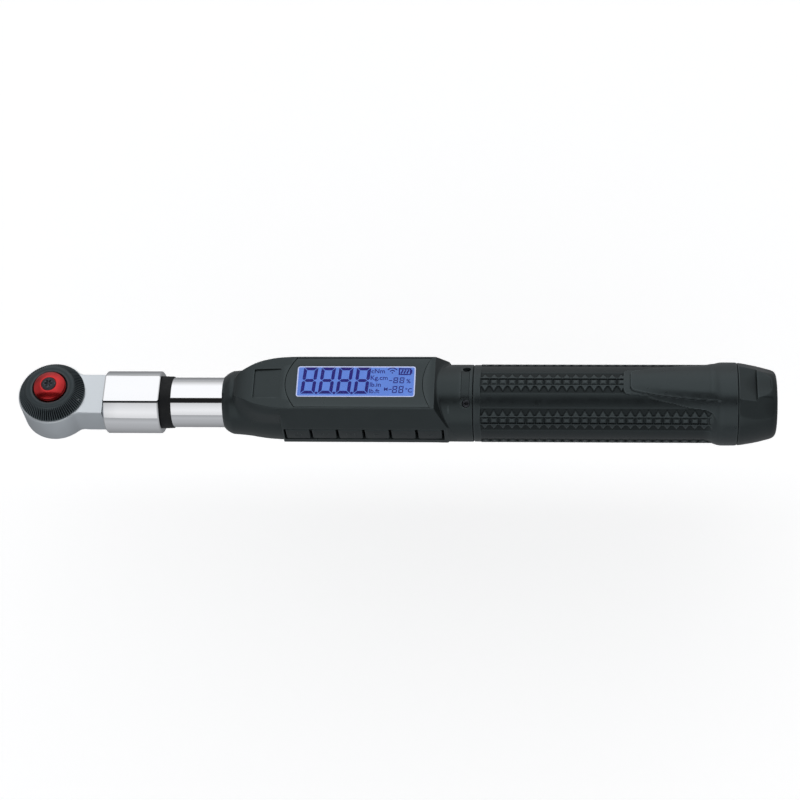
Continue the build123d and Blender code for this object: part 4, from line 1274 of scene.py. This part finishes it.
def screw_cap():
    """Tapered cap with its flat, the facets, a domed end and the neck inside the tube."""
    count = 360
    stations = [341.7, 341.75, 341.85, 342.1, 342.28, 342.35, 343, 344, 345, 346, 347, 348, 349, 350, 350.4, 350.5, 350.7,
                350.9, 351.0, 352, 353, 354, 355, 356, 357, 357.3, 357.6, 357.9, 358.3, 358.8, 359.2, 359.6,
                360.0, 360.3, 360.5, 360.65, 360.75, 360.85]
    loops = []
    for x in stations:
        loops.append([(x, *polar(cap_radius(x, 360 * i / count), 360 * i / count)) for i in range(count)])
    for x, r in ((360.88, 9.0), (CAP_END, 5.0), (CAP_END, 0.02), (350.0, 0.02), (350.0, 7.8), (331.0, 7.8),
                 (331.0, 9.6), (331.6, 10.1), (336.4, 10.1), (336.4, 8.8), (338.0, 8.8), (338.0, 10.1),
                 (CAP_START, 10.1)):
        loops.append([(x, *polar(r, 360 * i / count)) for i in range(count)])
    shape = Shape()
    shape.loft(loops, wrap=True)
    return mount(shape.build("screw_cap", 30), "tail_cap", "black_cap", finish_of("black_cap"), "tail_cap")


# ---------------------------------------------------------------- CAD pieces that stay

CAD_SLOTS = {
    "drive_steel": ("drive_gear", "plunger_pin", "detent_ball", "selector_pin", "pawl", "pawl_pivot", "cross_pins"),
    "spring_steel": ("retaining_rings", "button_spring", "board_screws", "dome_switches", "cap_spring"),
    "black_oxide": ("housing_screws",),
    "satin_steel": ("sensor_beam",),
    "gauge_film": ("strain_gauges",),
    "wire_sleeve": ("sensor_cable", "battery_leads"),
    "black_rubber": ("nose_seal", "keypad_membrane", "cap_o_ring"),
    "board_green": ("circuit_board", "key_board"),
    "chip_black": ("circuit_chips", "buzzer"),
    "core_plastic": ("grip_core", "battery_sleeve"),
    "battery_wrap": ("battery_1", "battery_2"),
    "contact_brass": ("front_contact", "cap_contact"),
}


def dress_cad():
    """Gives the CAD pieces their finishes."""
    for slot, names in CAD_SLOTS.items():
        for name in names:
            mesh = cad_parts[name].data
            mesh.materials.clear()
            mesh.materials.append(finish_of(slot))


# ---------------------------------------------------------------- stage, light and camera

def studio_world():
    """Soft white studio: bright overhead and behind, a dark strip over the camera, pale grey in front."""
    world = bpy.data.worlds.new("studio")
    bpy.context.scene.world = world
    world.use_nodes = True
    tree = world.node_tree
    place = node(tree, "ShaderNodeTexCoord")
    split = node(tree, "ShaderNodeSeparateXYZ")
    tree.links.new(place.outputs["Generated"], split.inputs["Vector"])
    flip = node(tree, "ShaderNodeMath", operation="MULTIPLY")
    flip.inputs[1].default_value = -1.0
    tree.links.new(split.outputs["Y"], flip.inputs[0])
    angle = node(tree, "ShaderNodeMath", operation="ARCTAN2")
    tree.links.new(split.outputs["Z"], angle.inputs[0])
    tree.links.new(flip.outputs[0], angle.inputs[1])
    share = node(tree, "ShaderNodeMath", operation="DIVIDE")
    share.inputs[1].default_value = math.pi
    tree.links.new(angle.outputs[0], share.inputs[0])
    ramp = node(tree, "ShaderNodeValToRGB")
    stops = ((0.0, 0.68), (0.12, 0.80), (0.20, 0.74), (0.315, 0.60), (0.322, 0.012), (0.447, 0.012),
             (0.454, 0.95), (0.8, 0.95), (0.96, 0.5), (1.0, 0.3))
    band = ramp.color_ramp
    while len(band.elements) < len(stops):
        band.elements.new(0.5)
    for element, (position, value) in zip(band.elements, stops):
        element.position = position
    for element, (position, value) in zip(sorted(band.elements, key=lambda e: e.position), stops):
        element.color = (value * 0.985, value * 0.99, value, 1.0)
    tree.links.new(share.outputs[0], ramp.inputs["Fac"])
    dim = node(tree, "ShaderNodeMath", operation="MULTIPLY")
    side = node(tree, "ShaderNodeMath", operation="ABSOLUTE")
    tree.links.new(split.outputs["X"], side.inputs[0])
    tree.links.new(ranged(tree, side.outputs[0], 1.0, 0.45, 0.3, 0.7), dim.inputs[0])
    dim.inputs[1].default_value = 1.1
    background = tree.nodes["Background"]
    tree.links.new(dim.outputs[0], background.inputs["Strength"])
    tree.links.new(ramp.outputs["Color"], background.inputs["Color"])


# Light the floor gives to everything but the camera, by Y in metres; the dark dip round Y = 0 is a painted shadow of
# the wrench.
FLOOR_LIGHT_AND_SHADOW = [(-0.85, 0.42), (-0.33, 0.50), (-0.12, 0.42), (0.0, 0.26), (0.07, 0.22), (0.24, 0.27), (0.7, 0.40)]


def floor_material():
    """Paper that looks white to the camera and gives the object soft graded light from below, with a painted shadow
    of the wrench in that light.
    """
    material = surface("floor_paper", (0.93, 0.93, 0.93), 0.9, 0.0, 0.006, 3.0, 900, 0.02, specular=0.0)
    tree = material.node_tree
    paper = tree.nodes["Principled BSDF"]
    paper.inputs["Emission Color"].default_value = (1.0, 1.0, 1.0, 1.0)
    paper.inputs["Emission Strength"].default_value = 0.46
    place = node(tree, "ShaderNodeTexCoord")
    split = node(tree, "ShaderNodeSeparateXYZ")
    tree.links.new(place.outputs["Object"], split.inputs["Vector"])
    ramp = node(tree, "ShaderNodeValToRGB")
    while len(ramp.color_ramp.elements) < len(FLOOR_LIGHT_AND_SHADOW):
        ramp.color_ramp.elements.new(0.5)
    below = node(tree, "ShaderNodeEmission")
    tree.links.new(ramp.outputs["Color"], below.inputs["Color"])
    share = node(tree, "ShaderNodeMapRange")
    share.inputs["From Min"].default_value = -1.0
    share.inputs["From Max"].default_value = 1.0
    tree.links.new(split.outputs["Y"], share.inputs["Value"])
    tree.links.new(share.outputs["Result"], ramp.inputs["Fac"])
    for element, (y, value) in zip(ramp.color_ramp.elements, FLOOR_LIGHT_AND_SHADOW):
        element.position = (y + 1.0) / 2
    for element, (y, value) in zip(ramp.color_ramp.elements, FLOOR_LIGHT_AND_SHADOW):
        element.color = (value * 0.95, value * 0.97, value, 1.0)
    path = node(tree, "ShaderNodeLightPath")
    mix = node(tree, "ShaderNodeMixShader")
    tree.links.new(path.outputs["Is Camera Ray"], mix.inputs["Fac"])
    tree.links.new(below.outputs["Emission"], mix.inputs[1])
    tree.links.new(paper.outputs["BSDF"], mix.inputs[2])
    output = [n for n in tree.nodes if n.type == "OUTPUT_MATERIAL"][0]
    tree.links.new(mix.outputs["Shader"], output.inputs["Surface"])
    return material


def studio_floor():
    shape = Shape()
    shape.prism([(-4000, -4000), (4000, -4000), (4000, 4000), (-4000, 4000)], -125.0, -120.0)
    obj = shape.build("studio_floor")
    obj.data.materials.append(floor_material())


def main_camera():
    """Camera above the near side, looking down on the display."""
    tilt = math.radians(30.0)
    yaw = math.radians(5.0)
    right = Vector((math.cos(yaw), math.sin(tilt) * math.sin(yaw), -math.cos(tilt) * math.sin(yaw)))
    up = Vector((0.0, math.cos(tilt), math.sin(tilt)))
    back = Vector((math.sin(yaw), -math.sin(tilt) * math.cos(yaw), math.cos(tilt) * math.cos(yaw)))
    roll = 0.003
    right, up = right * math.cos(roll) + up * math.sin(roll), up * math.cos(roll) - right * math.sin(roll)
    aim = Vector((0.175, 0.0, 0.0)) + up * 0.0015
    data = bpy.data.cameras.new("camera")
    data.lens = 100.35
    data.sensor_width = 36.0
    camera = bpy.data.objects.new("camera", data)
    bpy.context.scene.collection.objects.link(camera)
    place = aim + back * 1.115
    camera.matrix_world = Matrix((
        (right.x, up.x, back.x, place.x),
        (right.y, up.y, back.y, place.y),
        (right.z, up.z, back.z, place.z),
        (0, 0, 0, 1)))
    bpy.context.scene.camera = camera


def main():
    ratchet_head()
    reversing_dial()
    push_button()
    lobed_screw()
    return_spring()
    spanner_collar()
    tube_seal()
    plated_tube()
    upper_housing()
    lower_housing()
    index_strip()
    socket_screws()
    display_panel()
    display_cell()
    display_border()
    window_pane()
    display_figures()
    display_marks()
    display_units()
    for index in range(6):
        push_key(index)
    rubber_sleeve()
    screw_cap()
    dress_cad()
    studio_world()
    studio_floor()
    main_camera()
    bpy.context.scene.view_settings.view_transform = "Standard"


main()
